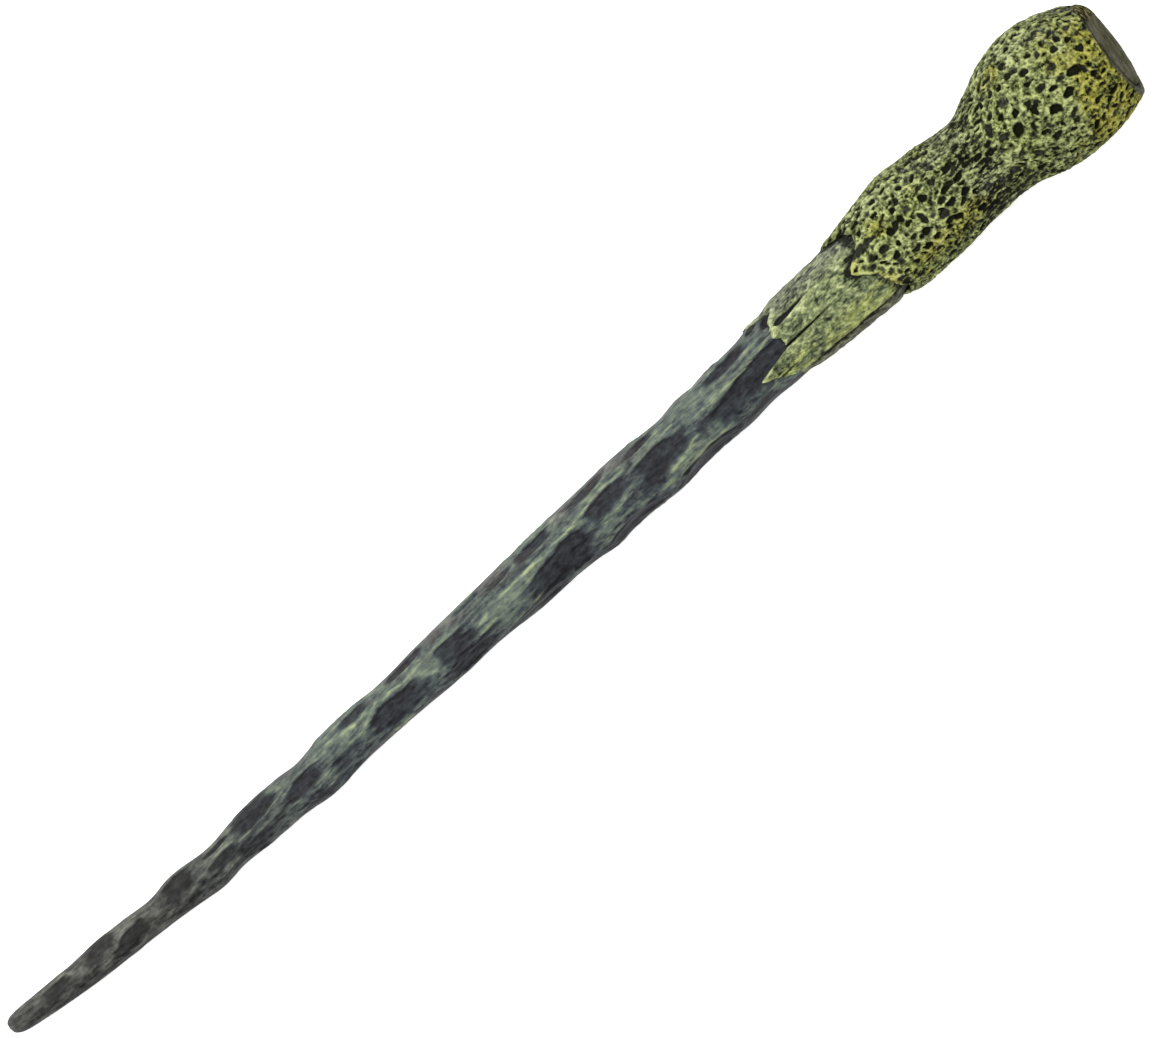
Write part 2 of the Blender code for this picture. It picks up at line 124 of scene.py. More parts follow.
# The torn end of the bark, as (angle, station).
BARK_TORN_EDGE = (
    (0, 272.8), (14, 273.6), (26, 277), (36, 279.6), (60, 280.3), (70, 279), (78, 276), (85, 274.8),
    (95, 276), (108, 279), (121, 280.6), (134, 281.3), (152, 282.8), (180, 282), (225, 277),
    (262, 282), (300, 275.5), (335, 278), (360, 272.8),
)
# The pits and gouges that stand out: station, angle, length, width, and for some a lean in degrees
# and how grey they are inside.
LANDMARK_PITS = (
    (335, 46, 2.4, 2.2, 0, 0.2), (338, 64, 2.4, 2.2, 0, 0.3), (329.5, 69, 2.8, 2.6, 20, 0.9),
    (330, 82, 2.4, 2.6), (328.2, 94, 3.6, 2.4, -35), (338.5, 83, 2.6, 2.2, 0, 0.4),
    (337.8, 103, 3.3, 2.9, 30), (347.3, 90, 3.5, 2.6, 25, 0.1), (344, 76, 2.9, 2.5, 0, 0.8),
    (347.3, 64, 2.5, 2.3, 0, 0.3), (352, 77, 2.4, 2.2, 0, 0.2), (350.6, 102, 2.2, 1.7),
    (352.8, 107, 1.8, 1.2, -20), (351.6, 126, 3.6, 1.6), (340.7, 116, 3.6, 1.6, -35, 0.5),
    (343.1, 101, 4.4, 1.8, -10), (337, 137, 2.2, 1.4), (341.9, 147, 4.2, 1.7),
    (347.1, 122, 2.7, 1.5, 0, 0.2), (354, 150, 2.6, 1.5, -40), (322.5, 75, 3.4, 1.6, -35, 0.6),
    (323.3, 49, 3.8, 1.1, -10), (324.5, 122, 2.4, 1.3, 35, 0.2), (330.6, 139, 2.2, 1.3, 0, 0.1),
    (320.5, 124, 2.6, 2.2, 0, 0.8), (308.4, 72, 2.4, 2.2, 0, 0.1), (306.4, 86, 2.6, 1.6, 0, 0.2),
    (316.2, 86, 2.8, 1.8, -8, 0.1), (319.4, 89, 2.6, 2, -12, 0.1), (284.6, 93, 2.2, 2, 0, 0.3),
    (285.8, 106, 2.3, 2.2), (279.7, 100, 2.2, 1.8, 0, 0.6), (282.5, 103, 1.7, 1.5), (292.2, 81, 2.4, 2),
    (288.6, 83, 2.4, 2.2), (295.1, 78, 2.6, 2.3, 0, 0.9), (303.9, 74, 2.4, 2.2, 0, 0.5),
    (296.3, 95, 2, 3.6, 0, 0.3), (305, 88, 3.2, 1.6, -6), (309.6, 86, 3.4, 1.7, -10),
    (286.6, 32, 2.5, 1.4), (278.9, 31, 2.8, 1.5), (292.2, 70, 2.2, 1.8), (287.8, 57, 1.8, 1.6),
    (296.3, 120, 2.2, 1.8, 0, 0.1), (293, 120, 2.4, 1.6), (303.1, 118, 2.3, 1.9), (299.9, 120, 2, 1.7),
    (308.8, 132, 2.6, 2.2, 0, 0.1), (301.1, 107, 2.8, 1.8, 10, 0.4), (308, 104, 2.5, 2.1),
    (291, 134, 4.2, 0.9), (285, 128, 2.4, 1.5), (280.5, 74, 10, 2.3, 0, 0.6), (277, 12, 6, 2.4),
    (281.5, 22, 3.6, 1.8, 20), (287, 16, 3, 1.6), (282, 116, 3, 1.4, 0, 0.7),
)
# How far a strip's edge stands back from the joint with its neighbour: (station, degrees).
SLOT = ((245, 0), (252, 0), (253.2, 5), (256, 4.5), (260.5, 2.2), (262.5, 0), (290, 0))
CRACK = ((245, 0), (251, 1.6), (258, 1.2), (263, 1.3), (267, 0), (290, 0))
CLOSED = ((245, 0), (290, 0))
# The under-bark strips: name, first and last angle, both joints, then the torn end as (angle, station).
STRIPS = (
    ("underbark_upper_strip", 1, 60.2, CLOSED, SLOT, (
        (1, 246), (13, 246.5), (24, 250), (33, 253.4), (46, 251.7), (60, 250.4),
    )),
    ("underbark_middle_strip", 60.8, 96.4, SLOT, CRACK, (
        (61, 250.4), (70, 249.9), (80, 250.8), (97, 250.9),
    )),
    ("underbark_lower_strip", 97, 179, CRACK, CLOSED, (
        (97, 250.6), (103, 246.8), (112, 240.8), (121, 243.4), (136, 246.4), (158, 250.6), (179, 255),
    )),
    ("underbark_back_strip", 181, 357, CLOSED, CLOSED, (
        (181, 254), (215, 247), (265, 242), (310, 247), (357, 249),
    )),
)
# The strips' outer radius towards +Y, on top and underneath, and towards -Y, as (station, radius).
STRIP_UPPER_SIDE = ((240, 8.9), (251, 9.25), (257, 9.8), (272, 9.8), (288.3, 10.5))
STRIP_TOP = ((240, 9.6), (250, 9.9), (262, 10.6), (270, 10.85), (288.3, 10.75))
STRIP_LOWER_SIDE = (
    (240, 9), (246, 9.3), (251, 9.8), (257, 10.4), (266, 11.1), (272, 11.5), (279, 12),
    (282, 10.9), (288.3, 10.7),
)
# Splits in the strips' faces, as (first station, last station, angle, width).
STRIP_SPLITS = (
    (253, 283, 149, 0.7), (244, 250, 127, 0.9), (256, 268, 30, 0.5), (274.5, 280, 71, 1.5),
    (254, 262, 215, 1.2), (262, 272, 300, 1),
)
# Raised torn ridges on the strips, in the form of STROKES below.
STRIP_RIDGES = (
    (254.6, 36, 250.6, 74, 1.3, 1), (256, 69, 261, 70, 0.7, 0.8), (241, 112, 247, 103, 0.6, 0.9),
    (241, 112, 243, 120, 0.5, 0.7), (270, 141, 279, 139, 1.1, 0.7), (264, 70, 271, 74, 1.4, 0.5),
    (247, 240, 258, 232, 0.9, 0.7), (250, 320, 262, 314, 0.9, 0.6),
)
# Brush strokes on the shaft: first station and angle, last station and angle, width, strength.
STROKES = (
    (34, 74, 47, 66, 0.6, 0.4), (58, 92, 64, 86, 0.7, 0.5), (72, 88, 80, 84, 0.4, 0.9),
    (80, 84, 87, 72, 0.45, 1), (87, 72, 91, 58, 0.5, 0.7), (88.5, 108, 94, 148, 0.6, 0.45),
    (95, 112, 101, 104, 0.4, 0.6), (101, 58, 112, 70, 1.3, 0.4), (112, 92, 119, 64, 0.6, 0.7),
    (119, 62, 127, 74, 0.7, 0.8), (128, 74, 136, 68, 0.8, 0.6), (132, 84, 136, 106, 1.1, 0.45),
    (136, 66, 152, 60, 0.8, 0.45), (151, 90, 154.5, 82, 0.7, 0.7), (157, 78, 173, 74, 0.7, 0.8),
    (160, 84, 169, 83, 0.4, 0.4), (173, 70, 184, 74, 0.5, 0.6), (181, 74, 190, 60, 0.45, 1),
    (190, 60, 202, 56, 0.6, 0.6), (188, 103, 200, 98, 0.4, 0.55), (203, 68, 218, 56, 0.6, 0.6),
    (210, 118, 215, 113, 1, 0.85), (216, 110, 221, 101, 1, 0.85), (220, 78, 232, 72, 0.7, 0.6),
    (226, 78, 240, 77, 0.6, 0.9), (240, 77, 250, 66, 0.6, 1), (218, 60, 228, 58, 0.9, 0.5),
    # on the hidden side
    (140, 190, 160, 200, 0.7, 0.7), (180, 240, 200, 232, 0.7, 0.8), (150, 290, 170, 284, 0.8, 0.7),
    (210, 260, 230, 270, 0.8, 0.8), (90, 230, 106, 240, 0.6, 0.7), (100, 300, 116, 296, 0.7, 0.6),
    (204, 330, 222, 336, 0.7, 0.7), (60, 280, 72, 272, 0.6, 0.5),
    # wide and faint, across the +Y side and the tip
    (179, 10, 184, 55, 2.4, 0.42), (197, 4, 202, 50, 2.8, 0.45), (205, 58, 216, 40, 1.6, 0.42),
    (225, 8, 234, 28, 2.2, 0.45), (214, 20, 222, 10, 1.6, 0.42), (160, 20, 168, 44, 2, 0.42),
    (141, 14, 147, 40, 2, 0.42), (119, 12, 124, 50, 2, 0.42), (84, 20, 88, 50, 1.8, 0.42),
    (20, 60, 24, 110, 2, 0.45), (33, 70, 35, 120, 1.4, 0.42), (45, 80, 48, 120, 1.6, 0.45),
)
# Patches of the bark where a grey wash was left: station, angle, length, width.
ASH_PATCHES = (
    (348, 47, 7.5, 6), (300.5, 43, 9, 6), (316, 118, 8, 5), (306, 56, 6, 3.5),
    (354, 20, 6, 8), (330, 200, 8, 6), (298, 240, 9, 6), (345, 290, 8, 7),
    (310, 320, 8, 5),
)
# Mustard patches apart from the band at the pommel, written the same way.
MUSTARD_PATCHES = ((286, 72, 6, 6), (300, 128, 34, 8), (331, 41, 10, 7), (346, 77, 9, 8))


def smooth_value(points, x, column=1):
    """Values at the array x of a smooth curve through rows whose first column is x."""
    rows = np.array([(row[0], row[column]) for row in points], float)
    knots, values = rows.T
    after, before = [*range(1, len(knots)), -1], [0, *range(len(knots) - 1)]
    slopes = (values[after] - values[before]) / (knots[after] - knots[before])
    x = np.clip(x, knots[0], knots[-1])
    i = np.clip(np.searchsorted(knots, x, side="right") - 1, 0, len(knots) - 2)
    span = knots[i + 1] - knots[i]
    t = (x - knots[i]) / span
    return (
        (2 * t**3 - 3 * t**2 + 1) * values[i]
        + (t**3 - 2 * t**2 + t) * span * slopes[i]
        + (3 * t**2 - 2 * t**3) * values[i + 1]
        + (t**3 - t**2) * span * slopes[i + 1]
    )


def smoothstep(low, high, x):
    """A smooth rise from 0 at low to 1 at high; with low above high, a fall."""
    t = np.clip((x - low) / (high - low), 0, 1)
    return t * t * (3 - 2 * t)


def bell(x, width):
    """1 where x is 0, falling off to both sides over the width."""
    return np.exp(-((x / width) ** 2))


def side_values(station, angle, upper, lower, top=0.0):
    """Blends a value for the +Y side and one for the -Y side into the one on top and underneath."""
    lean = np.cos(angle)
    up_share, low_share = np.clip(lean, 0, 1) ** 1.5, np.clip(-lean, 0, 1) ** 1.5
    return (
        top * (1 - up_share - low_share)
        + smooth_value(upper, station) * up_share
        + smooth_value(lower, station) * low_share
    )


def hashed(cells, seed):
    """A number from -1 to 1 for each row of three whole numbers."""
    x, y, z = (cells[..., k].astype(np.int64) for k in range(3))
    h = (x * 73856093) ^ (y * 19349663) ^ (z * 83492791) ^ (seed * 97531)
    h = ((h ^ (h >> 13)) * 1274126177) & 0x7FFFFFFF
    h = ((h ^ (h >> 15)) * 668265263) & 0x7FFFFFFF
    return (h ^ (h >> 16)) % 65536 / 32768 - 1


def noise(points, size, seed, octaves=1):
    """Smooth noise from about -1 to 1. size is a bump's length, or its length along each axis."""
    total = 0
    for octave in range(octaves):
        scaled = points / (np.array(size, float) / 2**octave) + 0.37 * octave
        cells = np.floor(scaled)
        part = scaled - cells
        part = part * part * (3 - 2 * part)
        layer = 0
        for corner in product((0, 1), repeat=3):
            weight = np.prod(np.where(corner, part, 1 - part), axis=-1)
            layer = layer + weight * hashed(cells + corner, seed + 17 * octave)
        total = total + layer / 2**octave
    return total


def wand_to_world():
    """The matrix from wand millimetres to the frame's metres, read off the straight rod."""
    points = np.array([v.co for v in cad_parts["core_rod"].data.vertices])
    ahead = points[:, 0] > points[:, 0].mean()
    start, end = points[~ahead].mean(axis=0), points[ahead].mean(axis=0)
    tilt = math.atan2(end[2] - start[2], end[0] - start[0])
    turn = Matrix.Rotation(-tilt, 4, "Y")
    first = points[points[:, 0] < start[0] + 0.002].mean(axis=0)
    rod_start = turn @ Vector((ROD_START, ROD_Y, ROD_Z)) * 0.001
    return Matrix.Translation(Vector(first) - rod_start) @ turn @ Matrix.Scale(0.001, 4)


TO_WORLD = np.array(wand_to_world())


def round_points(station, radius, angle):
    """Points in millimetres at stations, radii and angles (in radians) round a straight line."""
    return np.stack([station + 0 * angle, radius * np.cos(angle), radius * np.sin(angle)], axis=-1)


def on_wand(station, radius, angle):
    """The same round the wand's bent middle line."""
    points = round_points(station, radius, angle)
    for axis in (1, 2):
        points[..., axis] += smooth_value(MIDDLE_LINE, station, axis)
    return points


def new_mesh(name, points, quads, triangles=(), masks=None):
    """A smooth-shaded object from points in wand millimetres, with a value for each point in masks."""
    world = points.reshape(-1, 3) @ TO_WORLD[:3, :3].T + TO_WORLD[:3, 3]
    mesh = bpy.data.meshes.new(name)
    faces = [tuple(q) for q in np.asarray(quads).tolist()] + [tuple(t) for t in triangles]
    mesh.from_pydata(world.tolist(), [], faces)
    mesh.update()
    for key, values in (masks or {}).items():
        attribute = mesh.attributes.new(key, "FLOAT", "POINT")
        attribute.data.foreach_set("value", np.ascontiguousarray(values, np.float32).ravel())
    mesh.shade_smooth()
    thing = bpy.data.objects.new(name, mesh)
    scene.collection.objects.link(thing)
    return thing


def ring_quads(rows, columns, joined=False):
    """Quads between rings of points, and from the last ring to the first where they are joined."""
    count = rows if joined else rows - 1
    row = np.arange(count)[:, None]
    column = np.arange(columns)[None, :]
    above, beside = (row + 1) % rows, (column + 1) % columns
    corners = (
        row * columns + column, above * columns + column,
        above * columns + beside, row * columns + beside,
    )
    return np.stack([c + 0 * row + 0 * column for c in corners], axis=-1).reshape(-1, 4)


def fan(ring_start, columns, pole, turned=False):
    """Triangles from a ring of points to one point."""
    found = [(ring_start + (k + 1) % columns, ring_start + k, pole) for k in range(columns)]
    return [t[::-1] for t in found] if turned else found


def angle_between(a, b):
    """The turn from b to a, the short way round."""
    return (a - b + np.pi) % (2 * np.pi) - np.pi


# ---------------- shaft

SHAFT_ROWS, SHAFT_COLUMNS = 720, 132
TIP_STATIONS = (0.05, 0.25, 0.5)  # close rows that round the tip
EVEN_FROM = 0.8
HOLLOW_LEAN = radians(-5)
HIDDEN_SHIFT, HIDDEN_TURN = 6, 184  # the hidden side repeats the hollows, moved along and turned
HOLLOW_DEPTH, BROW_HEIGHT = 0.11, 0.03  # as shares of the radius
STROKE_HEIGHT, STREAK_HEIGHT, GRAIN_HEIGHT = 0.22, 0.085, 0.03
COVERED_FROM = 250  # the strips lie over the shaft from here
TIP_LENGTH = 5.0  # the relief fades out over this length
FAR_OFF = 3.0  # the distance given to points far from every hollow or pit


def hollow_fields(station, angle, sway, end_sway):
    """How far each point is from its nearest hollow, in hollow sizes, and the wash and rim there, with a
    painted shade along each hollow's edge towards +Y.
    """
    nearest = np.full(station.shape, FAR_OFF)
    wash, rim, shaded_brow = (np.zeros(station.shape) for _ in range(3))
    hidden = [(s + HIDDEN_SHIFT, a + HIDDEN_TURN, *rest) for s, a, *rest in HOLLOWS]
    for s0, a0, length, width, dark in (*HOLLOWS, *hidden):
        r0 = float(smooth_value(SHAFT_RADIUS, np.array(s0)))
        half_width = radians(width) * r0 / 2
        along = np.abs(station - s0) / (length / 2) + end_sway
        arc = angle_between(angle, radians(a0)) * r0 - (station - s0) * math.tan(HOLLOW_LEAN)
        narrowing = 1 + 0.45 * np.clip(along, 0, 1.4) ** 3
        across = np.abs(arc) / half_width * narrowing + sway
        far_side = smoothstep(-0.2, 0.9, arc / half_width)
        fade = 1 - smoothstep(0.55, 1.20, along)
        filled = (1 - smoothstep(0.78 - 0.30 * far_side, 1.06, across)) * (1 - 0.25 * far_side)
        wash = np.maximum(wash, dark * fade * filled)
        rim = np.maximum(rim, bell(across - 1.18, 0.12) * fade)
        # painted shade: a dark line just inside each hollow's edge towards +Y, where the wall faces away from
        # the light
        shaded_brow = np.maximum(shaded_brow, dark * fade * bell(across - 0.92, 0.15) * (1 - far_side))
        nearest = np.minimum(nearest, np.hypot(np.clip(along, 0, 9), across))
    return nearest, wash, rim, shaded_brow


def stroke_field(strokes, station, angle, radius, sway):
    """How strongly the strokes cover each point."""
    found = np.zeros(station.shape)
    for s0, a0, s1, a1, width, strength in strokes:
        run_s, run_a = s1 - s0, radians(a1 - a0) * radius
        gap_s, gap_a = station - s0, angle_between(angle, radians(a0)) * radius + sway
        share = np.clip((gap_s * run_s + gap_a * run_a) / (run_s**2 + run_a**2), 0, 1)
        off = np.hypot(gap_s - share * run_s, gap_a - share * run_a)
        taper = 0.45 + 0.55 * np.sin(np.pi * share)
        found = np.maximum(found, bell(off, width * 0.75 * taper) * strength)
    return found


def patch_field(patches, station, angle, radius, warp_s, warp_a):
    """How strongly the patches cover each point."""
    found = np.zeros(station.shape)
    for s0, a0, length, width in patches:
        gap_s = station - s0 + 2 * warp_s
        gap_a = angle_between(angle, radians(a0)) * radius + 2 * warp_a
        reach = np.hypot(gap_s / (length / 2), gap_a / (width / 2))
        found = np.maximum(found, 1 - smoothstep(0.45, 1.15, reach))
    return found


def make_shaft():
    """The whittled stick: hollows, streaks and strokes on a taper that is closed at both ends."""
    even = np.linspace(EVEN_FROM, SHAFT_ROOT, SHAFT_ROWS - len(TIP_STATIONS))
    stations = np.concatenate([TIP_STATIONS, even])
    angles = np.linspace(0, 2 * np.pi, SHAFT_COLUMNS, endpoint=False)
    station, angle = np.meshgrid(stations, angles, indexing="ij")
    radius = smooth_value(SHAFT_RADIUS, station)
    spot = round_points(station, radius, angle)
    sway = 0.20 * noise(spot, (6, 2.5, 2.5), 11, octaves=2) + 0.06 * noise(spot, (2.0, 0.8, 0.8), 12)
    end_sway = 0.30 * noise(spot, (8, 1.4, 1.4), 15, octaves=2)
    nearest, wash, rim, shaded_brow = hollow_fields(station, angle, sway, end_sway)
    stroke = stroke_field(STROKES, station, angle, radius, 0.3 * noise(spot, (5, 3, 3), 16, octaves=2))
    streak = noise(spot, (13, 1.0, 1.0), 13, octaves=3)
    cup = -HOLLOW_DEPTH * radius * np.clip(1 - nearest**2, 0, 1)
    relief = cup + BROW_HEIGHT * radius * (rim - shaded_brow) + STROKE_HEIGHT * stroke
    relief += STREAK_HEIGHT * streak * (1 - wash) + GRAIN_HEIGHT * noise(spot, (3.0, 0.7, 0.7), 14, octaves=2)
    relief += side_values(station, angle, SHAFT_UPPER_SIDE, SHAFT_LOWER_SIDE)
    # painted shade: where the strips lie over the shaft it is painted fully dark, as the shade under them
    under_strip_shade = smoothstep(COVERED_FROM, COVERED_FROM + 2, station)
    wash, shaded_brow = np.maximum(wash, under_strip_shade), np.maximum(shaded_brow, under_strip_shade)
    relief *= smoothstep(0.0, TIP_LENGTH, station)
    points = on_wand(station, radius + relief, angle)
    tip, root = (on_wand(np.array([s]), np.zeros(1), np.zeros(1)) for s in (0.0, float(SHAFT_ROOT)))
    rows, columns = station.shape
    points = np.concatenate([points.reshape(-1, 3), tip, root])
    triangles = fan(0, columns, rows * columns, turned=True)
    triangles += fan((rows - 1) * columns, columns, rows * columns + 1)
    masks = dict(hollow=wash, rim=rim, shaded_brow=shaded_brow, stroke=stroke, streak=streak, station=station)
    masks["upper"] = np.cos(angle)
    masks = {key: np.concatenate([v.ravel(), v[0, :1], v[-1, :1]]) for key, v in masks.items()}
    return new_mesh("shaft_skin", points, ring_quads(rows, columns), triangles, masks)


# ---------------- bark

BARK_ROWS, BARK_COLUMNS = 264, 330
BARK_INSIDE_ROWS = 14
BARK_WALL = 2.6
BARK_END_RADIUS = 13.4
LEAST_BARK_RADIUS = 11.5
STRIP_RELIEF = 1.2  # the bark's inside lies this much lower towards +Y, over the thinner strips
SEAT_DEPTH = 4.2
WEAR_START, WEAR_RATE, WEAR_REACH = 7.5, 0.075, 8
NECK_STATION, NECK_REACH = 314, 7.5
PIT_TRIES = 15000
PIT_PLACES = (272, 358)  # stations
SMALLEST_PIT, LARGEST_PIT = 0.30, 1.15
MERGING_SHARE = 0.14
PIT_GAP = 0.18
PIT_SURROUNDINGS = 2.2  # how far round a pit its distance is worked out
CURLS = ((84, 0.17, 1.0), (121, 0.32, 0.9))  # the torn edge curls up: angle, reach in radians, how much
RIM_HEIGHT, CRACK_DEPTH, LUMP_HEIGHT, GRIT_HEIGHT, CURL_HEIGHT = 0.22, 0.28, 0.26, 0.10, 0.30


def end_plane_station(radius, angle):
    """Where the pommel's slanted end plane lies at this radius and angle."""
    slope_y = math.tan(radians(END_TURN_SIDEWAYS))
    slope_z = math.tan(radians(END_TURN_UP))
    return END_STATION - slope_y * radius * np.cos(angle) - slope_z * radius * np.sin(angle)


def worn_back(y):
    """How far the pommel's end is worn back towards its +Y side."""
    return WEAR_RATE * np.clip(y - WEAR_START, 0, WEAR_REACH) ** 2


def neck_share(station):
    """1 at the neck between grip and bulb, and 0 away from it."""
    return bell(station - NECK_STATION, NECK_REACH)


def turned(gap_s, gap_a, lean):
    """Gaps along and across a pit that leans."""
    return gap_s * np.cos(lean) + gap_a * np.sin(lean), gap_a * np.cos(lean) - gap_s * np.sin(lean)


def scatter_pits(rng):
    """Pits as rows of station, angle, half length, half width, lean, depth, grey and rim.

    Most keep their distance from the rest, and the others run into a neighbour.
    """
    kept = []
    for place in LANDMARK_PITS:
        s0, a0, length, width, lean, grey = (*place, 0, 0)[:6]
        depth = 0.45 + 0.30 * min(length, width)
        row = (s0, radians(a0), length / 2, width / 2, radians(lean))
        kept.append((*row, depth * (1 - 0.6 * grey), grey, rng.uniform(0.4, 1)))
    kept = np.array(kept)
    sizes = np.sort(rng.gamma(2.3, 0.17, PIT_TRIES))[::-1]
    for size in np.clip(sizes, SMALLEST_PIT, LARGEST_PIT):
        s0, a0 = rng.uniform(*PIT_PLACES), rng.uniform(0, 2 * np.pi)
        neck = float(neck_share(s0))
        size *= 1 - 0.2 * neck
        stretch = rng.uniform(1.0, 2.0) + neck * rng.uniform(0.8, 3.0)
        lean = rng.normal(0, 0.8 - 0.68 * neck)
        shape = (size * math.sqrt(stretch), size / math.sqrt(stretch))
        spare = rng.random()
        grey = rng.random() ** 2 * (size > 0.6)
        rim = rng.uniform(0, 1)
        surface = float(smooth_value(BARK_RADIUS, np.array(s0)))
        gap_s = kept[:, 0] - s0
        gap_a = angle_between(kept[:, 1], a0) * surface
        along, across = turned(gap_s, gap_a, kept[:, 4])
        room = np.hypot(along / (size + kept[:, 2] + PIT_GAP), across / (size + kept[:, 3] + PIT_GAP))
        torn = float(smooth_value(BARK_TORN_EDGE, np.array(math.degrees(a0))))
        least_room = 0.66 if spare < MERGING_SHARE else 0.90 + 0.34 * spare
        if room.min() < least_room or s0 - torn < 0.3 + 0.7 * size:
            continue
        depth = min(1.15, 0.30 + 0.85 * size) * rng.uniform(0.6, 1.15) * (1 - 0.5 * grey)
        kept = np.vstack([kept, (s0, a0, *shape, lean, depth, grey, rim)])
    return kept


def pit_fields(station, angle, surface, pits, warp_s, warp_a):
    """Millimetres from each point to its nearest pit's edge (less than 0 inside), and what that pit is."""
    edge = np.full(station.shape, FAR_OFF)
    depth, grey, rim = (np.zeros(station.shape) for _ in range(3))
    columns = station.shape[1]
    for s0, a0, half_length, half_width, lean, deep, ash, bright in pits:
        size = math.sqrt(half_length * half_width)
        reach = max(half_length, half_width) + PIT_SURROUNDINGS
        rows_near = np.nonzero((station.min(axis=1) < s0 + reach) & (station.max(axis=1) > s0 - reach))[0]
        span = int(reach / LEAST_BARK_RADIUS / (2 * np.pi) * columns) + 1
        middle = int(round(a0 / (2 * np.pi) * columns))
        window = np.ix_(rows_near, (np.arange(-span, span + 1) + middle) % columns)
        gap_s = station[window] - s0 + warp_s[window]
        gap_a = angle_between(angle[window], a0) * surface[window] + warp_a[window]
        along, across = np.abs(turned(gap_s, gap_a, lean))
        blunt = 1.65 + 0.5 * bright
        out = ((along / half_length) ** blunt + (across / half_width) ** blunt) ** (1 / blunt)
        away = (out - 1) * min(size, 1.2)
        closer = away < edge[window]
        for field, value in ((edge, away), (depth, deep), (grey, ash), (rim, bright)):
            field[window] = np.where(closer, value, field[window])
    return edge, depth, grey, rim


def bark_ends(angles):
    """The stations of the bark's torn edge and of its slanted end, all the way round."""
    turn_points = round_points(0, 12, angles)
    torn = smooth_value(BARK_TORN_EDGE, np.degrees(angles)) + 0.8 * noise(turn_points, 1.8, 21, octaves=3)
    end = end_plane_station(BARK_END_RADIUS, angles) + 0.2 * noise(turn_points, 2.0, 22, octaves=2)
    return torn, end - worn_back(BARK_END_RADIUS * np.cos(angles))


def bark_inside(angles, torn, end):
    """The bark's inner wall, from its end back to the torn edge, with the cap's seat."""
    share = np.linspace(1, 0, BARK_INSIDE_ROWS)[:, None]
    station = torn[None, :] + 0.25 + (end - torn - 0.45)[None, :] * share
    angle = np.broadcast_to(angles, station.shape)
    least = BARK_INNER_RADIUS - STRIP_RELIEF * np.clip(np.cos(angle), 0, 1) ** 1.5
    radius = np.maximum(least, smooth_value(BARK_RADIUS, station) - BARK_WALL)
    radius = np.where(station > END_STATION - SEAT_DEPTH, CAP_SEAT_RADIUS, radius)
    return on_wand(station, radius, angle)


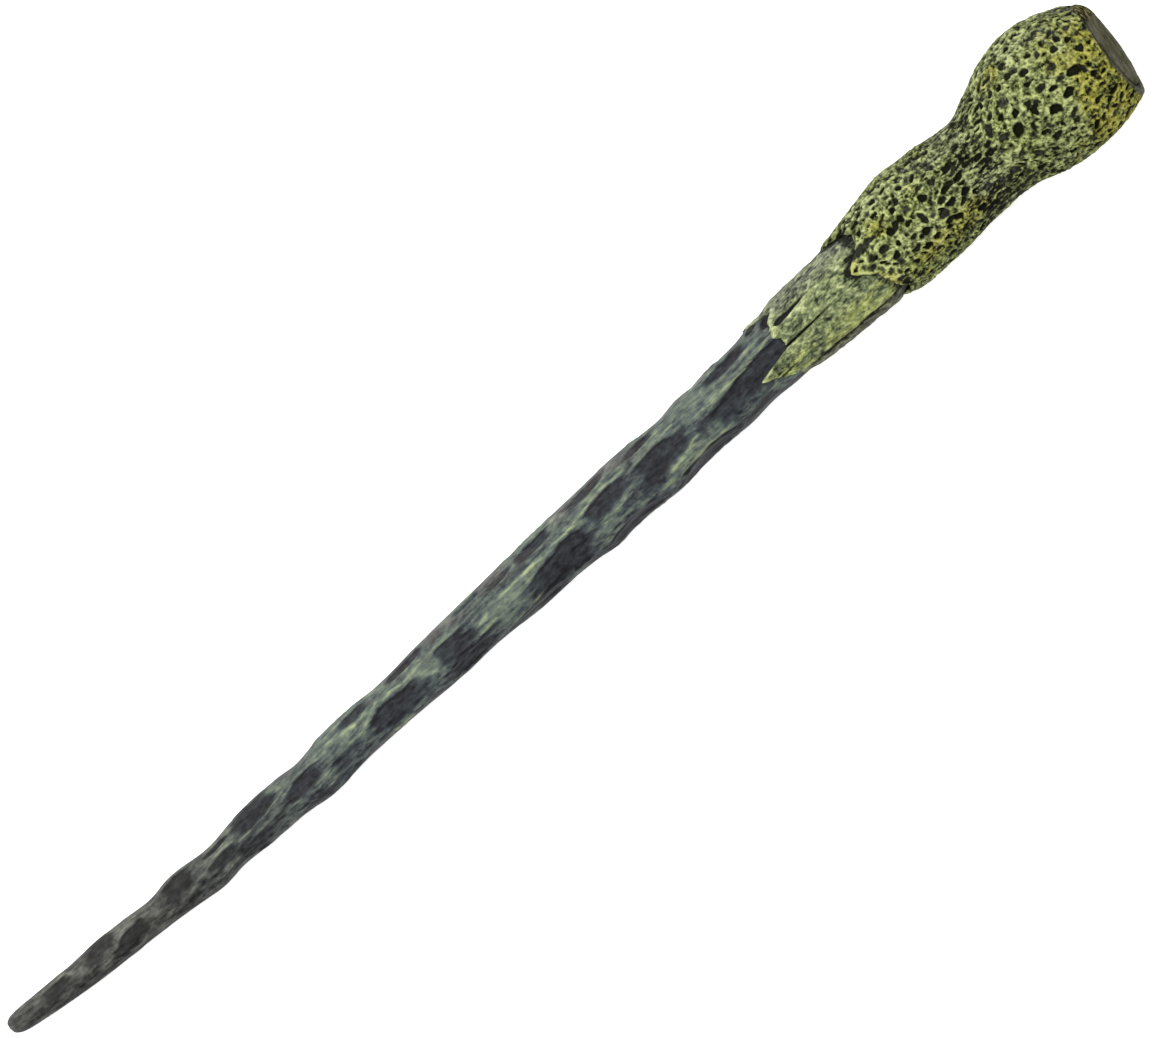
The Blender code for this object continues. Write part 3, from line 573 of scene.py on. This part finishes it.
def make_bark():
    """The pitted, cracked bark over the grip and the bulb, as one closed shell."""
    angles = np.linspace(0, 2 * np.pi, BARK_COLUMNS, endpoint=False)
    torn, end = bark_ends(angles)
    station = torn[None, :] + (end - torn)[None, :] * np.linspace(0, 1, BARK_ROWS)[:, None]
    angle = np.broadcast_to(angles, station.shape)
    upper, low_side = np.cos(angle), np.clip(-np.cos(angle), 0, 1)
    from_torn, to_end = station - torn[None, :], end[None, :] - station
    base = smooth_value(BARK_RADIUS, station)
    surface = base * (1 + 0.010 * np.sin(2 * angle + station / 18) + 0.008 * np.sin(3 * angle - station / 11))
    surface += side_values(station, angle, BARK_UPPER_SIDE, BARK_LOWER_SIDE)
    spot = round_points(station, base, angle)
    warp_s, warp_a = (
        0.50 * noise(spot, 2.6, seed) + 0.42 * noise(spot, 1.1, seed + 1, octaves=2) for seed in (23, 25)
    )
    pits = scatter_pits(np.random.default_rng(41))
    edge, depth, grey, bright = pit_fields(station, angle, base, pits, warp_s, warp_a)
    pit = (1 - smoothstep(-0.55, 0.14, edge)) * (0.35 + 0.65 * smoothstep(0.35, 0.95, depth))
    rim = bell(edge - 0.32, 0.28) * (0.25 + 0.75 * bright)
    neck = neck_share(station)
    stretched = spot / np.stack([1 + 1.6 * neck] + 2 * [1 - 0.25 * neck], axis=-1)
    crack_lines = np.abs(noise(stretched, 2.3, 27, octaves=2))
    cracks = smoothstep(0.10, 0.02, crack_lines) * smoothstep(0.15, 0.45, edge)
    # along the torn edge on the +Y side a groove is sunk and painted dark, partly as the shade in the gap
    # under the bark's edge
    cracks = np.maximum(cracks, 0.95 * bell(from_torn, 1.8) * smoothstep(0.5, 0.85, upper))
    lumps = noise(spot, 7, 28, octaves=2)
    grit = noise(spot, 0.8, 29, octaves=2)
    curls = [share * bell(angle_between(angle, radians(a0)), reach) for a0, reach, share in CURLS]
    curl = np.max(curls, axis=0)
    lip = bell(from_torn - 0.7, 0.8 + 1.0 * curl) * (0.05 + 0.95 * curl)
    lip *= np.clip(0.75 + 0.6 * noise(spot, 2.2, 30), 0, 1.1)
    relief = -depth * pit + RIM_HEIGHT * rim - CRACK_DEPTH * cracks + LUMP_HEIGHT * lumps + GRIT_HEIGHT * grit
    relief = relief * smoothstep(0.0, 0.8, from_torn) + CURL_HEIGHT * lip
    relief *= smoothstep(0.0, 1.0, to_end) * 0.85 + 0.15
    outer_radius = surface + relief
    outer_radius[:3] -= 0.5 * bell(from_torn[:3], 0.5)
    outer, inner = on_wand(station, outer_radius, angle), bark_inside(angles, torn, end)
    spread = station - 6 * upper + 4.5 * noise(spot, 5, 31, octaves=3)
    pommel_band = smoothstep(341, 349, spread) * (1 - 0.8 * smoothstep(0.35, 0.8, upper))
    mustard = patch_field(MUSTARD_PATCHES, station, angle, base, warp_s, warp_a)
    ash = patch_field(ASH_PATCHES, station, angle, base, warp_s, warp_a)
    sawn = smoothstep(0.6 + 0.5 * low_side, 0.1 + 0.4 * low_side, to_end + 0.3 * warp_s)
    masks = dict(
        pit=pit, rim=rim, crack=cracks, lip=lip, grey=grey * pit, ash=ash, lumps=lumps, neck=neck,
        mustard=np.maximum(pommel_band, 0.7 * mustard), upper=upper, sawn=sawn,
    )
    wall = np.ones(inner.shape[0] * inner.shape[1])  # the inner wall is as dark as the floor of a pit
    masks = {key: np.concatenate([v.ravel(), (key == "pit") * wall]) for key, v in masks.items()}
    points = np.concatenate([outer, inner])
    quads = ring_quads(*points.shape[:2], joined=True)
    return new_mesh("bark_skin", points, quads, (), masks)


# ---------------- under-bark

STRIP_ROWS = 190
LEAST_STRIP_COLUMNS = 34
STRIP_MIDDLE_RADIUS = 10
DARKER_SPOT = (246.3, 118, 2.6, 6)  # a darker spot on the lower tongue: station, angle, reach each way
STRIP_STREAK_HEIGHT, STRIP_BLOTCH_HEIGHT, STRIP_CURL_HEIGHT = 0.12, 0.20, 0.20
STRIP_RIDGE_HEIGHT, SPLIT_DEPTH, BORDER_ROUNDING = 0.35, 0.6, 0.45


def strip_grid(seed, first, last, first_joint, last_joint, torn_end):
    """Stations and degrees over a strip, and the distances to its torn end and to its border."""
    columns = max(LEAST_STRIP_COLUMNS, int(last - first))
    across = np.linspace(0, 1, columns)[None, :]
    down = np.linspace(0, 1, STRIP_ROWS)[:, None]
    degrees = first + (last - first) * across + 0 * down
    end_line = degrees[0]
    end_points = np.stack([0 * end_line, STRIP_INNER_RADIUS * np.radians(end_line), 0 * end_line], axis=-1)
    start = smooth_value(torn_end, end_line) + 0.6 * noise(end_points, 1.3, seed, octaves=3)
    station = start[None, :] + (STRIP_END - start)[None, :] * down
    pull = (1 - 2 * across) ** 3
    degrees = degrees + smooth_value(first_joint, station) * np.clip(pull, 0, 1)
    degrees = degrees + smooth_value(last_joint, station) * np.clip(pull, -1, 0)
    side_points = np.stack([station, 0 * station, 0 * station + seed], axis=-1)
    degrees = degrees + 0.8 * noise(side_points, 3.0, seed + 1, octaves=3) * pull
    from_torn = station - start[None, :]
    side_gap = np.minimum(across, 1 - across) * np.radians(last - first) * STRIP_MIDDLE_RADIUS
    return station, degrees, from_torn, np.minimum(from_torn, side_gap)


def split_field(station, degrees, spot, seed):
    """How deep in a split each point of a strip lies."""
    found = 0 * station
    for first, last, split_angle, width in STRIP_SPLITS:
        off = np.radians(degrees - split_angle + 3 * noise(spot, (6, 3, 3), seed)) * STRIP_MIDDLE_RADIUS
        ends = smoothstep(first - 1, first + 1, station) * smoothstep(last + 3, last - 2, station)
        found = np.maximum(found, bell(off, width / 2) * ends)
    return found


def strip_shade(station, degrees, blotch):
    """A strip's painted shade against the bark's torn edge, where the bark's lip shades it, and one darker
    spot on the lower tongue.
    """
    past_edge = station - smooth_value(BARK_TORN_EDGE, degrees % 360)
    softness = 0.4 * smoothstep(95, 110, degrees % 360) * smoothstep(0.6, -0.6, past_edge)
    shade = smoothstep(-3.4, -0.3, past_edge + 1.2 * blotch) * (1 - softness)
    s0, a0, reach_s, reach_a = DARKER_SPOT
    darker_spot = bell(station - s0, reach_s) * bell(degrees - a0, reach_a) * np.clip(0.8 + 0.6 * blotch, 0, 1)
    return np.maximum(shade, 0.6 * darker_spot)


def make_strip(name, seed, *outline):
    """One strip of under-bark: a curved, closed patch with a torn end, splits and ridges."""
    station, degrees, from_torn, border = strip_grid(seed, *outline)
    angle = np.radians(degrees)
    spot = round_points(station, STRIP_MIDDLE_RADIUS, angle)
    full = side_values(station, angle, STRIP_UPPER_SIDE, STRIP_LOWER_SIDE, smooth_value(STRIP_TOP, station))
    full -= 0.5 * smoothstep(6, 0, from_torn) * smoothstep(100, 115, degrees)
    ragged = bell(np.maximum(station - 262, 0), 5)
    lip = bell(border - 0.5, 0.6) * (0.35 + 0.5 * noise(spot, 2.5, seed + 4)) * ragged
    ridge = stroke_field(STRIP_RIDGES, station, angle, full, 0.4 * noise(spot, 2.5, seed + 6, octaves=2))
    split = split_field(station, degrees, spot, seed + 5)
    streak = noise(spot, (5, 1.1, 1.1), seed + 2, octaves=3)
    blotch = noise(spot, (2.4, 1.6, 1.6), seed + 3, octaves=3)
    relief = STRIP_STREAK_HEIGHT * streak + STRIP_BLOTCH_HEIGHT * blotch + STRIP_CURL_HEIGHT * lip
    relief += STRIP_RIDGE_HEIGHT * ridge - SPLIT_DEPTH * split
    relief *= 1 - 0.7 * smoothstep(-1.5, 0.5, station - smooth_value(BARK_TORN_EDGE, degrees % 360))
    outer_radius = full + relief - BORDER_ROUNDING * bell(border, 0.25) * (0.15 + 0.85 * ragged)
    outer = on_wand(station, outer_radius, angle)
    inner = on_wand(station, STRIP_INNER_RADIUS + 0 * angle, angle)
    points = np.concatenate([outer.reshape(-1, 3), inner.reshape(-1, 3)])
    index = np.arange(station.size).reshape(station.shape)
    grid = np.stack([index[:-1, :-1], index[1:, :-1], index[1:, 1:], index[:-1, 1:]], axis=-1).reshape(-1, 4)
    loop = np.concatenate([index[0, :], index[1:, -1], index[-1, -2::-1], index[-2:0:-1, 0]])
    ahead, shift = np.roll(loop, -1), station.size
    sides = np.stack([loop, ahead, ahead + shift, loop + shift], axis=-1)
    quads = np.concatenate([grid, grid[:, ::-1] + shift, sides])
    # painted shade also fills the splits
    shade = np.maximum(strip_shade(station, degrees, blotch), split)
    masks = dict(streak=streak, blotch=blotch, lip=lip, ridge=ridge, shade=shade, upper=np.cos(angle))
    masks = {key: np.concatenate([v.ravel(), v.ravel()]) for key, v in masks.items()}
    return new_mesh(name + "_skin", points, quads, (), masks)


# ---------------- pommel cap


CAP_COLUMNS, CAP_EDGE_ROWS, CAP_FACE_ROWS = 160, 6, 34
CAP_EDGE_RADIUS = 0.5
FACE_UNEVENNESS, FACE_GRAIN, FACE_SINK = 0.07, 0.02, 0.08
BROWN_FROM, BROWN_FULL = 5.5, 8.5  # how far towards +Y the face turns to the bark's brown


def cap_profile():
    """Radius and height from the disc's bottom edge, over its rounded top edge, to its middle."""
    rounding = CAP_EDGE_RADIUS
    profile = [(CAP_RADIUS, CAP_PROUD - CAP_THICKNESS), (CAP_RADIUS, CAP_PROUD - rounding - 0.05)]
    profile += [
        (CAP_RADIUS - rounding * (1 - math.cos(t)), CAP_PROUD - rounding * (1 - math.sin(t)))
        for t in np.linspace(0.1, math.pi / 2, CAP_EDGE_ROWS)
    ]
    return profile + [(r, CAP_PROUD) for r in np.linspace(CAP_RADIUS - 0.9, 0.35, CAP_FACE_ROWS)]


def make_cap():
    """The grey disc in the pommel's slanted end, with a softened edge and a slightly uneven face."""
    angles = np.linspace(0, 2 * np.pi, CAP_COLUMNS, endpoint=False)
    turn = np.stack([np.cos(angles), np.sin(angles), 0 * angles], axis=-1)
    slope_y, slope_z = math.tan(radians(END_TURN_SIDEWAYS)), math.tan(radians(END_TURN_UP))
    turn_to_face = np.array(Vector((1, slope_y, slope_z)).to_track_quat("Z", "Y").to_matrix())
    toward_y = (turn @ turn_to_face.T)[:, 1]
    profile = cap_profile()
    rings, worn = [], []
    for ring_radius, height in profile:
        spot = turn * ring_radius
        lift = FACE_UNEVENNESS * noise(spot, 5, 51, octaves=2) + FACE_GRAIN * noise(spot, 0.8, 52)
        rise = np.minimum(height, CAP_PROUD - worn_back(toward_y * ring_radius))
        if height > CAP_PROUD - 0.3:
            rise = rise + lift - FACE_SINK
        rings.append(np.stack([spot[:, 0], spot[:, 1], rise], axis=-1))
        worn.append(smoothstep(BROWN_FROM, BROWN_FULL, toward_y * ring_radius))
    poles = [(0, 0, CAP_PROUD - FACE_SINK), (0, 0, profile[0][1])]
    local = np.concatenate([np.stack(rings).reshape(-1, 3), poles])
    centre = on_wand(np.array(END_STATION), np.array(0.0), np.array(0.0))
    points = local @ turn_to_face.T + centre
    rows, columns = len(profile), CAP_COLUMNS
    triangles = fan((rows - 1) * columns, columns, rows * columns, turned=True)
    triangles += fan(0, columns, rows * columns + 1)
    masks = {"worn": np.concatenate([*worn, [0, 0]])}
    return new_mesh("cap_skin", points, ring_quads(rows, columns)[:, ::-1], triangles, masks)


# ---------------- paint

LIGHT_LEVEL = 1.3  # how bright a white face turned up to the light comes out
MIX_SHARE, MIX_FIRST, MIX_SECOND, MIX_RESULT = 0, 6, 7, 2  # the Mix node's sockets for colours


def seen(red, green, blue):
    """The paint that looks like this 0 to 255 colour on a face turned up to the scene's light."""
    shares = [v / 255 for v in (red, green, blue)]
    linear = [v / 12.92 if v <= 0.04045 else ((v + 0.055) / 1.055) ** 2.4 for v in shares]
    return tuple(v / LIGHT_LEVEL for v in linear)


class Paint:
    """Builds one node material around a Principled shader."""

    def __init__(self, name):
        self.material = bpy.data.materials.new(name)
        self.material.use_nodes = True
        self.tree = self.material.node_tree
        self.shader = self.tree.nodes["Principled BSDF"]
        self.place = self.tree.nodes.new("ShaderNodeTexCoord").outputs["Object"]

    def node(self, kind, **settings):
        made = self.tree.nodes.new(kind)
        for key, value in settings.items():
            setattr(made, key, value)
        return made

    def feed(self, socket, value):
        """Links another node's output to the socket, or sets a plain value on it."""
        if isinstance(value, bpy.types.NodeSocket):
            self.tree.links.new(value, socket)
        else:
            socket.default_value = value

    def mask(self, name):
        return self.node("ShaderNodeAttribute", attribute_name=name).outputs["Fac"]

    def noise(self, size, detail, stretch=(1, 1, 1), spread=0.2, middle=0.5):
        """Noise with bumps about size millimetres across, times stretch along each axis.

        It comes out from 0 to 1; a smaller spread gives it more contrast.
        """
        mapping = self.node("ShaderNodeMapping")
        mapping.inputs["Scale"].default_value = [1 / s for s in stretch]
        self.feed(mapping.inputs["Vector"], self.place)
        texture = self.node("ShaderNodeTexNoise")
        self.feed(texture.inputs["Vector"], mapping.outputs["Vector"])
        texture.inputs["Scale"].default_value = 1000 / size
        texture.inputs["Detail"].default_value = detail
        texture.inputs["Roughness"].default_value = 0.6
        return self.steps(texture.outputs["Fac"], middle - spread, middle + spread)

    def maths(self, operation, first, second):
        made = self.node("ShaderNodeMath", operation=operation)
        self.feed(made.inputs[0], first)
        self.feed(made.inputs[1], second)
        return made.outputs[0]

    def total(self, start, *terms):
        """start plus each value times its weight, kept from 0 to 1."""
        for value, weight in terms:
            made = self.node("ShaderNodeMath", operation="MULTIPLY_ADD")
            self.feed(made.inputs[0], value)
            made.inputs[1].default_value = weight
            self.feed(made.inputs[2], start)
            start = made.outputs[0]
        made.use_clamp = True
        return start

    def steps(self, value, low, high, out_low=0.0, out_high=1.0):
        """The value moved smoothly from the range low..high to the range out_low..out_high."""
        made = self.node("ShaderNodeMapRange", interpolation_type="SMOOTHSTEP")
        self.feed(made.inputs["Value"], value)
        limits = {"From Min": low, "From Max": high, "To Min": out_low, "To Max": out_high}
        for key, number in limits.items():
            made.inputs[key].default_value = number
        return made.outputs["Result"]

    def ramp(self, value, *stops):
        """A colour for the value, from (place, red, green, blue) stops."""
        made = self.node("ShaderNodeValToRGB")
        band = made.color_ramp
        while len(band.elements) < len(stops):
            band.elements.new(0.5)
        for element, (place, *colour) in zip(band.elements, stops):
            element.position = place
            element.color = (*seen(*colour), 1)
        self.feed(made.inputs["Fac"], value)
        return made.outputs["Color"]

    def mix(self, share, first, second):
        """A blend of two colours, each a socket or a (red, green, blue) tuple."""
        made = self.node("ShaderNodeMix", data_type="RGBA")
        self.feed(made.inputs[MIX_SHARE], share)
        for number, value in ((MIX_FIRST, first), (MIX_SECOND, second)):
            self.feed(made.inputs[number], (*seen(*value), 1) if isinstance(value, tuple) else value)
        return made.outputs[MIX_RESULT]

    def bump(self, height, distance):
        """Fine relief; distance is in millimetres."""
        made = self.node("ShaderNodeBump")
        made.inputs["Distance"].default_value = distance / 1000
        self.feed(made.inputs["Height"], height)
        self.tree.links.new(made.outputs["Normal"], self.shader.inputs["Normal"])

    def finish(self, colour, variation, smoothest, roughest, specular=0.3):
        """Sets the colour, a roughness that follows the variation from 0 to 1, and the specular."""
        self.feed(self.shader.inputs["Base Color"], colour)
        self.feed(self.shader.inputs["Roughness"], self.steps(variation, 0, 1, smoothest, roughest))
        self.shader.inputs["Specular IOR Level"].default_value = specular
        return self.material


def bark_paint():
    """A dark wash left in the pits, then greens and mustard dry-brushed over the ridges."""
    p = Paint("bark_paint")
    grit, fleck = p.noise(0.5, 2, spread=0.14), p.noise(1.3, 2, spread=0.13)
    patch, broad = p.noise(2.6, 3, spread=0.13), p.noise(10, 3, spread=0.14)
    lines = p.noise(0.9, 3, stretch=(4.5, 1, 1), spread=0.10)
    ragged = p.total(-0.26, (p.mask("pit"), 1.0), (grit, 0.22), (fleck, 0.26))
    pit = p.steps(ragged, 0.08, 0.84)
    # painted shade: the bark darkens towards -Y, the side turned from the light
    low_side = p.steps(p.mask("upper"), -0.45, -0.95)
    tone = p.total(
        -0.04, (fleck, 0.47), (patch, 0.26), (broad, 0.12), (grit, 0.08), (p.mask("rim"), 0.50),
        (p.mask("lip"), 0.30), (p.mask("lumps"), 0.05), (p.mask("crack"), -0.46),
        (p.maths("MULTIPLY", p.mask("neck"), lines), -0.58), (pit, -0.84), (low_side, -0.12),
        (p.mask("mustard"), -0.10),
    )
    green = p.ramp(
        tone, (0, 22, 24, 8), (0.12, 46, 50, 24), (0.30, 84, 91, 52), (0.50, 116, 124, 74),
        (0.72, 152, 162, 97), (1, 200, 208, 134),
    )
    mustard = p.ramp(
        tone, (0, 20, 17, 4), (0.10, 50, 45, 16), (0.24, 92, 89, 35), (0.44, 132, 130, 50),
        (0.70, 166, 164, 70), (1, 198, 196, 110),
    )
    dull = p.ramp(
        tone, (0, 24, 25, 16), (0.12, 50, 53, 38), (0.30, 86, 91, 68), (0.50, 118, 124, 92),
        (0.72, 150, 157, 115), (1, 196, 201, 152),
    )
    warm = p.maths("MULTIPLY", p.mask("mustard"), p.steps(patch, 0.1, 0.7, 0.40, 1.0))
    warm = p.maths("MAXIMUM", warm, p.maths("MULTIPLY", p.mask("lip"), 0.8))
    warm = p.maths("MAXIMUM", warm, p.noise(4.6, 2, spread=0.09, middle=0.71))
    toward_y = p.steps(p.mask("upper"), 0.2, 0.9)
    greyer = p.total(0.0, (toward_y, 0.30), (p.mask("neck"), 0.35), (broad, 0.35))
    colour = p.mix(greyer, green, dull)
    colour = p.mix(warm, colour, mustard)
    ash = p.mix(fleck, (42, 43, 42), (92, 94, 84))
    ashy = p.maths("MULTIPLY", p.mask("ash"), p.steps(patch, 0.9, 0.3))
    grey = p.maths("MAXIMUM", p.mask("grey"), ashy)
    colour = p.mix(p.maths("MULTIPLY", grey, 0.75), colour, ash)
    sawn_brown = p.mix(fleck, (72, 71, 56), (106, 104, 88))
    sawn = p.mix(p.steps(p.mask("upper"), 0.1, 0.6), sawn_brown, ash)
    colour = p.mix(p.mask("sawn"), colour, sawn)
    p.bump(grit, 0.12)
    return p.finish(colour, fleck, 0.66, 0.84, 0.06)


def underbark_paint():
    """Light greens stippled and brushed lengthwise over grey."""
    p = Paint("underbark_paint")
    brush = p.noise(0.6, 3, stretch=(3, 1, 1), spread=0.14)
    fleck = p.noise(1.0, 4, stretch=(1.4, 1, 1), spread=0.13)
    patch = p.noise(3.4, 3, stretch=(1.8, 1, 1), spread=0.13)
    # painted shade: towards -Y, the side turned from the light, the strips darken and turn a drab grey
    low_side = p.steps(p.mask("upper"), -0.80, -0.90)
    # the shade mask is painted shade under the bark's torn edge and in the splits, with one darker spot on
    # the lower tongue
    tone = p.total(
        0.04, (brush, 0.22), (fleck, 0.46), (patch, 0.26), (p.mask("streak"), 0.09),
        (p.mask("blotch"), 0.08), (p.mask("lip"), 0.30), (p.mask("ridge"), 0.34),
        (p.mask("shade"), -0.62), (low_side, -0.10),
    )
    colour = p.ramp(
        tone, (0, 26, 28, 20), (0.12, 54, 60, 44), (0.32, 96, 106, 76), (0.54, 132, 142, 100),
        (0.78, 168, 178, 124), (1, 206, 214, 158),
    )
    grey = p.ramp(tone, (0, 36, 36, 34), (0.2, 74, 76, 68), (0.5, 118, 122, 104), (1, 182, 188, 150))
    olive = p.ramp(tone, (0, 36, 36, 20), (0.2, 82, 86, 46), (0.5, 138, 146, 76), (1, 192, 199, 112))
    toward_y = p.steps(p.mask("upper"), 0.25, 0.85)
    colour = p.mix(p.maths("MULTIPLY", toward_y, 0.8), colour, grey)
    mossy = p.maths("MULTIPLY", p.steps(p.mask("upper"), -0.30, -0.60), p.steps(patch, 0.1, 0.8, 0.0, 0.7))
    colour = p.mix(mossy, colour, olive)
    shaded_drab = p.ramp(tone, (0, 30, 30, 22), (0.2, 64, 64, 50), (0.5, 100, 102, 82), (1, 160, 164, 128))
    colour = p.mix(low_side, colour, shaded_drab)
    p.bump(fleck, 0.2)
    return p.finish(colour, fleck, 0.6, 0.78, 0.1)


def shaft_paint():
    """Charcoal in the hollows, grey-green along the ridges, and thin bright lines on their edges."""
    p = Paint("shaft_paint")
    brush, thin = p.noise(0.7, 4, stretch=(8, 1, 1)), p.noise(0.4, 2, stretch=(12, 1, 1))
    cloud, mottle = p.noise(6.0, 4, stretch=(2.2, 1, 1)), p.noise(1.4, 4, stretch=(1.6, 1, 1))
    # painted shade: the ridges darken towards -Y, the side turned from the light, and in cloudy patches on
    # the lower half
    low_side = p.steps(p.mask("upper"), -0.30, -0.95)
    shaded_side_patches = p.maths("MULTIPLY", p.steps(p.mask("upper"), 0.15, -0.35), p.steps(cloud, 0.9, 0.3))
    ridges = p.total(
        -0.02, (brush, 0.18), (thin, 0.08), (cloud, 0.32), (mottle, 0.22), (p.mask("streak"), 0.09),
        (p.mask("rim"), 0.18), (p.mask("stroke"), 0.42), (low_side, -0.16), (shaded_side_patches, -0.12),
        (p.steps(p.mask("station"), 200, 235), -0.05),
    )
    kept = p.steps(p.mask("hollow"), 0.05, 0.85, 1.0, 0.24)
    # the hollows' edges towards +Y are darkened here as painted shade
    tone = p.total(-0.03, (p.maths("MULTIPLY", ridges, kept), 1.0), (p.mask("shaded_brow"), -0.18), (mottle, 0.09))
    colour = p.ramp(
        tone, (0, 22, 23, 25), (0.10, 45, 47, 52), (0.26, 67, 74, 75), (0.44, 92, 101, 94),
        (0.62, 112, 122, 108), (0.82, 138, 149, 125), (1, 174, 184, 146),
    )
    tip = p.ramp(
        tone, (0, 26, 26, 24), (0.14, 47, 47, 45), (0.4, 79, 80, 75), (0.7, 114, 116, 107),
        (1, 156, 159, 144),
    )
    colour = p.mix(p.steps(p.mask("station"), 110, 40), colour, tip)
    # partly a brownish cast and partly painted light: towards +Y, the side facing the light, the colour turns
    # a paler brownish grey, lighter in the hollows
    lit_side_brown = p.maths("MULTIPLY", p.steps(p.mask("upper"), 0.3, 0.8), p.steps(cloud, 0.55, 0.15, 0.0, 0.8))
    colour = p.mix(lit_side_brown, colour, p.ramp(tone, (0, 48, 45, 46), (0.4, 92, 90, 87), (1, 150, 150, 140)))
    line = p.maths("MULTIPLY", p.mask("rim"), p.steps(cloud, 0.50, 0.85, 0.0, 0.45))
    line = p.maths("MAXIMUM", line, p.steps(p.mask("stroke"), 0.45, 1.0, 0.0, 0.70))
    station = p.mask("station")
    for value, *span in ((mottle, 0.15, 0.65, 0.1), (brush, 0.2, 0.7, 0.4), (station, 50, 120, 0.2)):
        line = p.maths("MULTIPLY", line, p.steps(value, *span))
    colour = p.mix(line, colour, (162, 172, 110))
    p.bump(brush, 0.08)
    return p.finish(colour, cloud, 0.5, 0.68, 0.12)


def cap_paint():
    """Smooth grey with an olive cast, mottled with the bark's brown where it is worn."""
    p = Paint("cap_paint")
    cloud, mottle, fine = p.noise(5.0, 4), p.noise(1.4, 3), p.noise(0.5, 2)
    tone = p.total(0.0, (cloud, 0.6), (mottle, 0.4))
    blotch = p.noise(1.5, 3, spread=0.12)
    bark_brown = p.ramp(
        blotch, (0, 24, 22, 12), (0.45, 56, 53, 32), (0.75, 96, 92, 58), (1, 140, 135, 90),
    )
    colour = p.ramp(tone, (0, 62, 60, 42), (0.5, 92, 91, 74), (1, 122, 118, 104))
    colour = p.mix(p.maths("MULTIPLY", p.mask("worn"), 0.9), colour, bark_brown)
    p.bump(fine, 0.04)
    return p.finish(colour, cloud, 0.6, 0.75, 0.0)


def steel_paint():
    """Drawn steel: fine lines along the rod."""
    p = Paint("rod_steel")
    lines = p.noise(0.15, 3, stretch=(60, 1, 1))
    colour = p.mix(lines, (176, 178, 180), (205, 206, 208))
    p.shader.inputs["Metallic"].default_value = 1.0
    p.bump(lines, 0.01)
    return p.finish(colour, lines, 0.28, 0.42, 0.5)


def resin_paint():
    """Unpainted cast resin, a little cloudy."""
    p = Paint("core_resin")
    cloud, fine = p.noise(12.0, 4), p.noise(0.8, 3)
    colour = p.mix(cloud, (140, 132, 116), (160, 152, 134))
    p.bump(fine, 0.05)
    return p.finish(colour, fine, 0.6, 0.75)


def wear(piece, material, slot, *nodes):
    """Gives a skin its paint and ties it to the frame."""
    piece.data.materials.append(material)
    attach(piece, "root")
    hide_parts(*nodes)


def repaint(node, material):
    """Gives a piece of the frame that is wholly hidden its paint; it keeps its CAD shape."""
    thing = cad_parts[node]
    thing.data.materials.clear()
    thing.data.materials.append(material)


# ---------------- stage

VIEW_TURN = 42.59
VIEW_WIDTH = 0.2822
CAMERA_HEIGHT = 4.0
SENSOR_WIDTH = 36
AIM = (186.2, 1.22)  # station and y that the camera looks at
KEY_PLACE, KEY_SIZE, KEY_POWER = (-0.25, 0.45, 1.5), 1.1, 26
WHITE = (1, 1, 1, 1)
WORLD_LEVEL = 0.62
FLOOR_SIZE = 30
FLOOR_PAINT = {
    "Base Color": (0.90, 0.90, 0.90, 1), "Roughness": 0.9, "Specular IOR Level": 0.1,
    "Emission Color": WHITE, "Emission Strength": 0.62,
}


def make_camera():
    """Straight above the wand, turned so that the wand runs from lower left to upper right."""
    camera = bpy.data.cameras.new("camera")
    camera.sensor_width = SENSOR_WIDTH
    camera.lens = camera.sensor_width * CAMERA_HEIGHT / VIEW_WIDTH
    holder = bpy.data.objects.new("camera", camera)
    scene.collection.objects.link(holder)
    aim = TO_WORLD @ np.array([*AIM, 0, 1])
    holder.location = (aim[0], aim[1], aim[2] + CAMERA_HEIGHT)
    holder.rotation_euler = (0, 0, -radians(VIEW_TURN))
    scene.camera = holder


def make_key_light():
    """One large soft light, overhead and a little to the side."""
    lamp = bpy.data.lights.new("key", "AREA")
    lamp.shape = "DISK"
    lamp.size = KEY_SIZE
    lamp.energy = KEY_POWER
    holder = bpy.data.objects.new("key", lamp)
    holder.location = KEY_PLACE
    holder.rotation_euler = (-Vector(KEY_PLACE)).to_track_quat("-Z", "Y").to_euler()
    scene.collection.objects.link(holder)


def make_stage():
    """A white floor that is slightly self-lit, a white world and the light."""
    bpy.ops.mesh.primitive_plane_add(size=FLOOR_SIZE, location=(0, 0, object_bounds()[0].z))
    floor = bpy.context.object
    floor.name = "floor"
    p = Paint("floor_white")
    for key, value in FLOOR_PAINT.items():
        p.shader.inputs[key].default_value = value
    floor.data.materials.append(p.material)
    world = bpy.data.worlds.new("studio")
    world.use_nodes = True
    background = world.node_tree.nodes["Background"]
    background.inputs["Color"].default_value = WHITE
    background.inputs["Strength"].default_value = WORLD_LEVEL
    scene.world = world
    make_key_light()
    scene.view_settings.view_transform = "Standard"


wear(make_shaft(), shaft_paint(), "shaft_paint", "shaft")
strip_paint = underbark_paint()
for number, (strip, *outline) in enumerate(STRIPS):
    seed = 60 + 10 * number
    wear(make_strip(strip, seed, *outline), strip_paint, "underbark_paint", strip)
wear(make_bark(), bark_paint(), "bark_paint", "grip_bark")
wear(make_cap(), cap_paint(), "cap_grey", "pommel_cap")
repaint("core_rod", steel_paint())
repaint("handle_core", resin_paint())
make_camera()
make_stage()
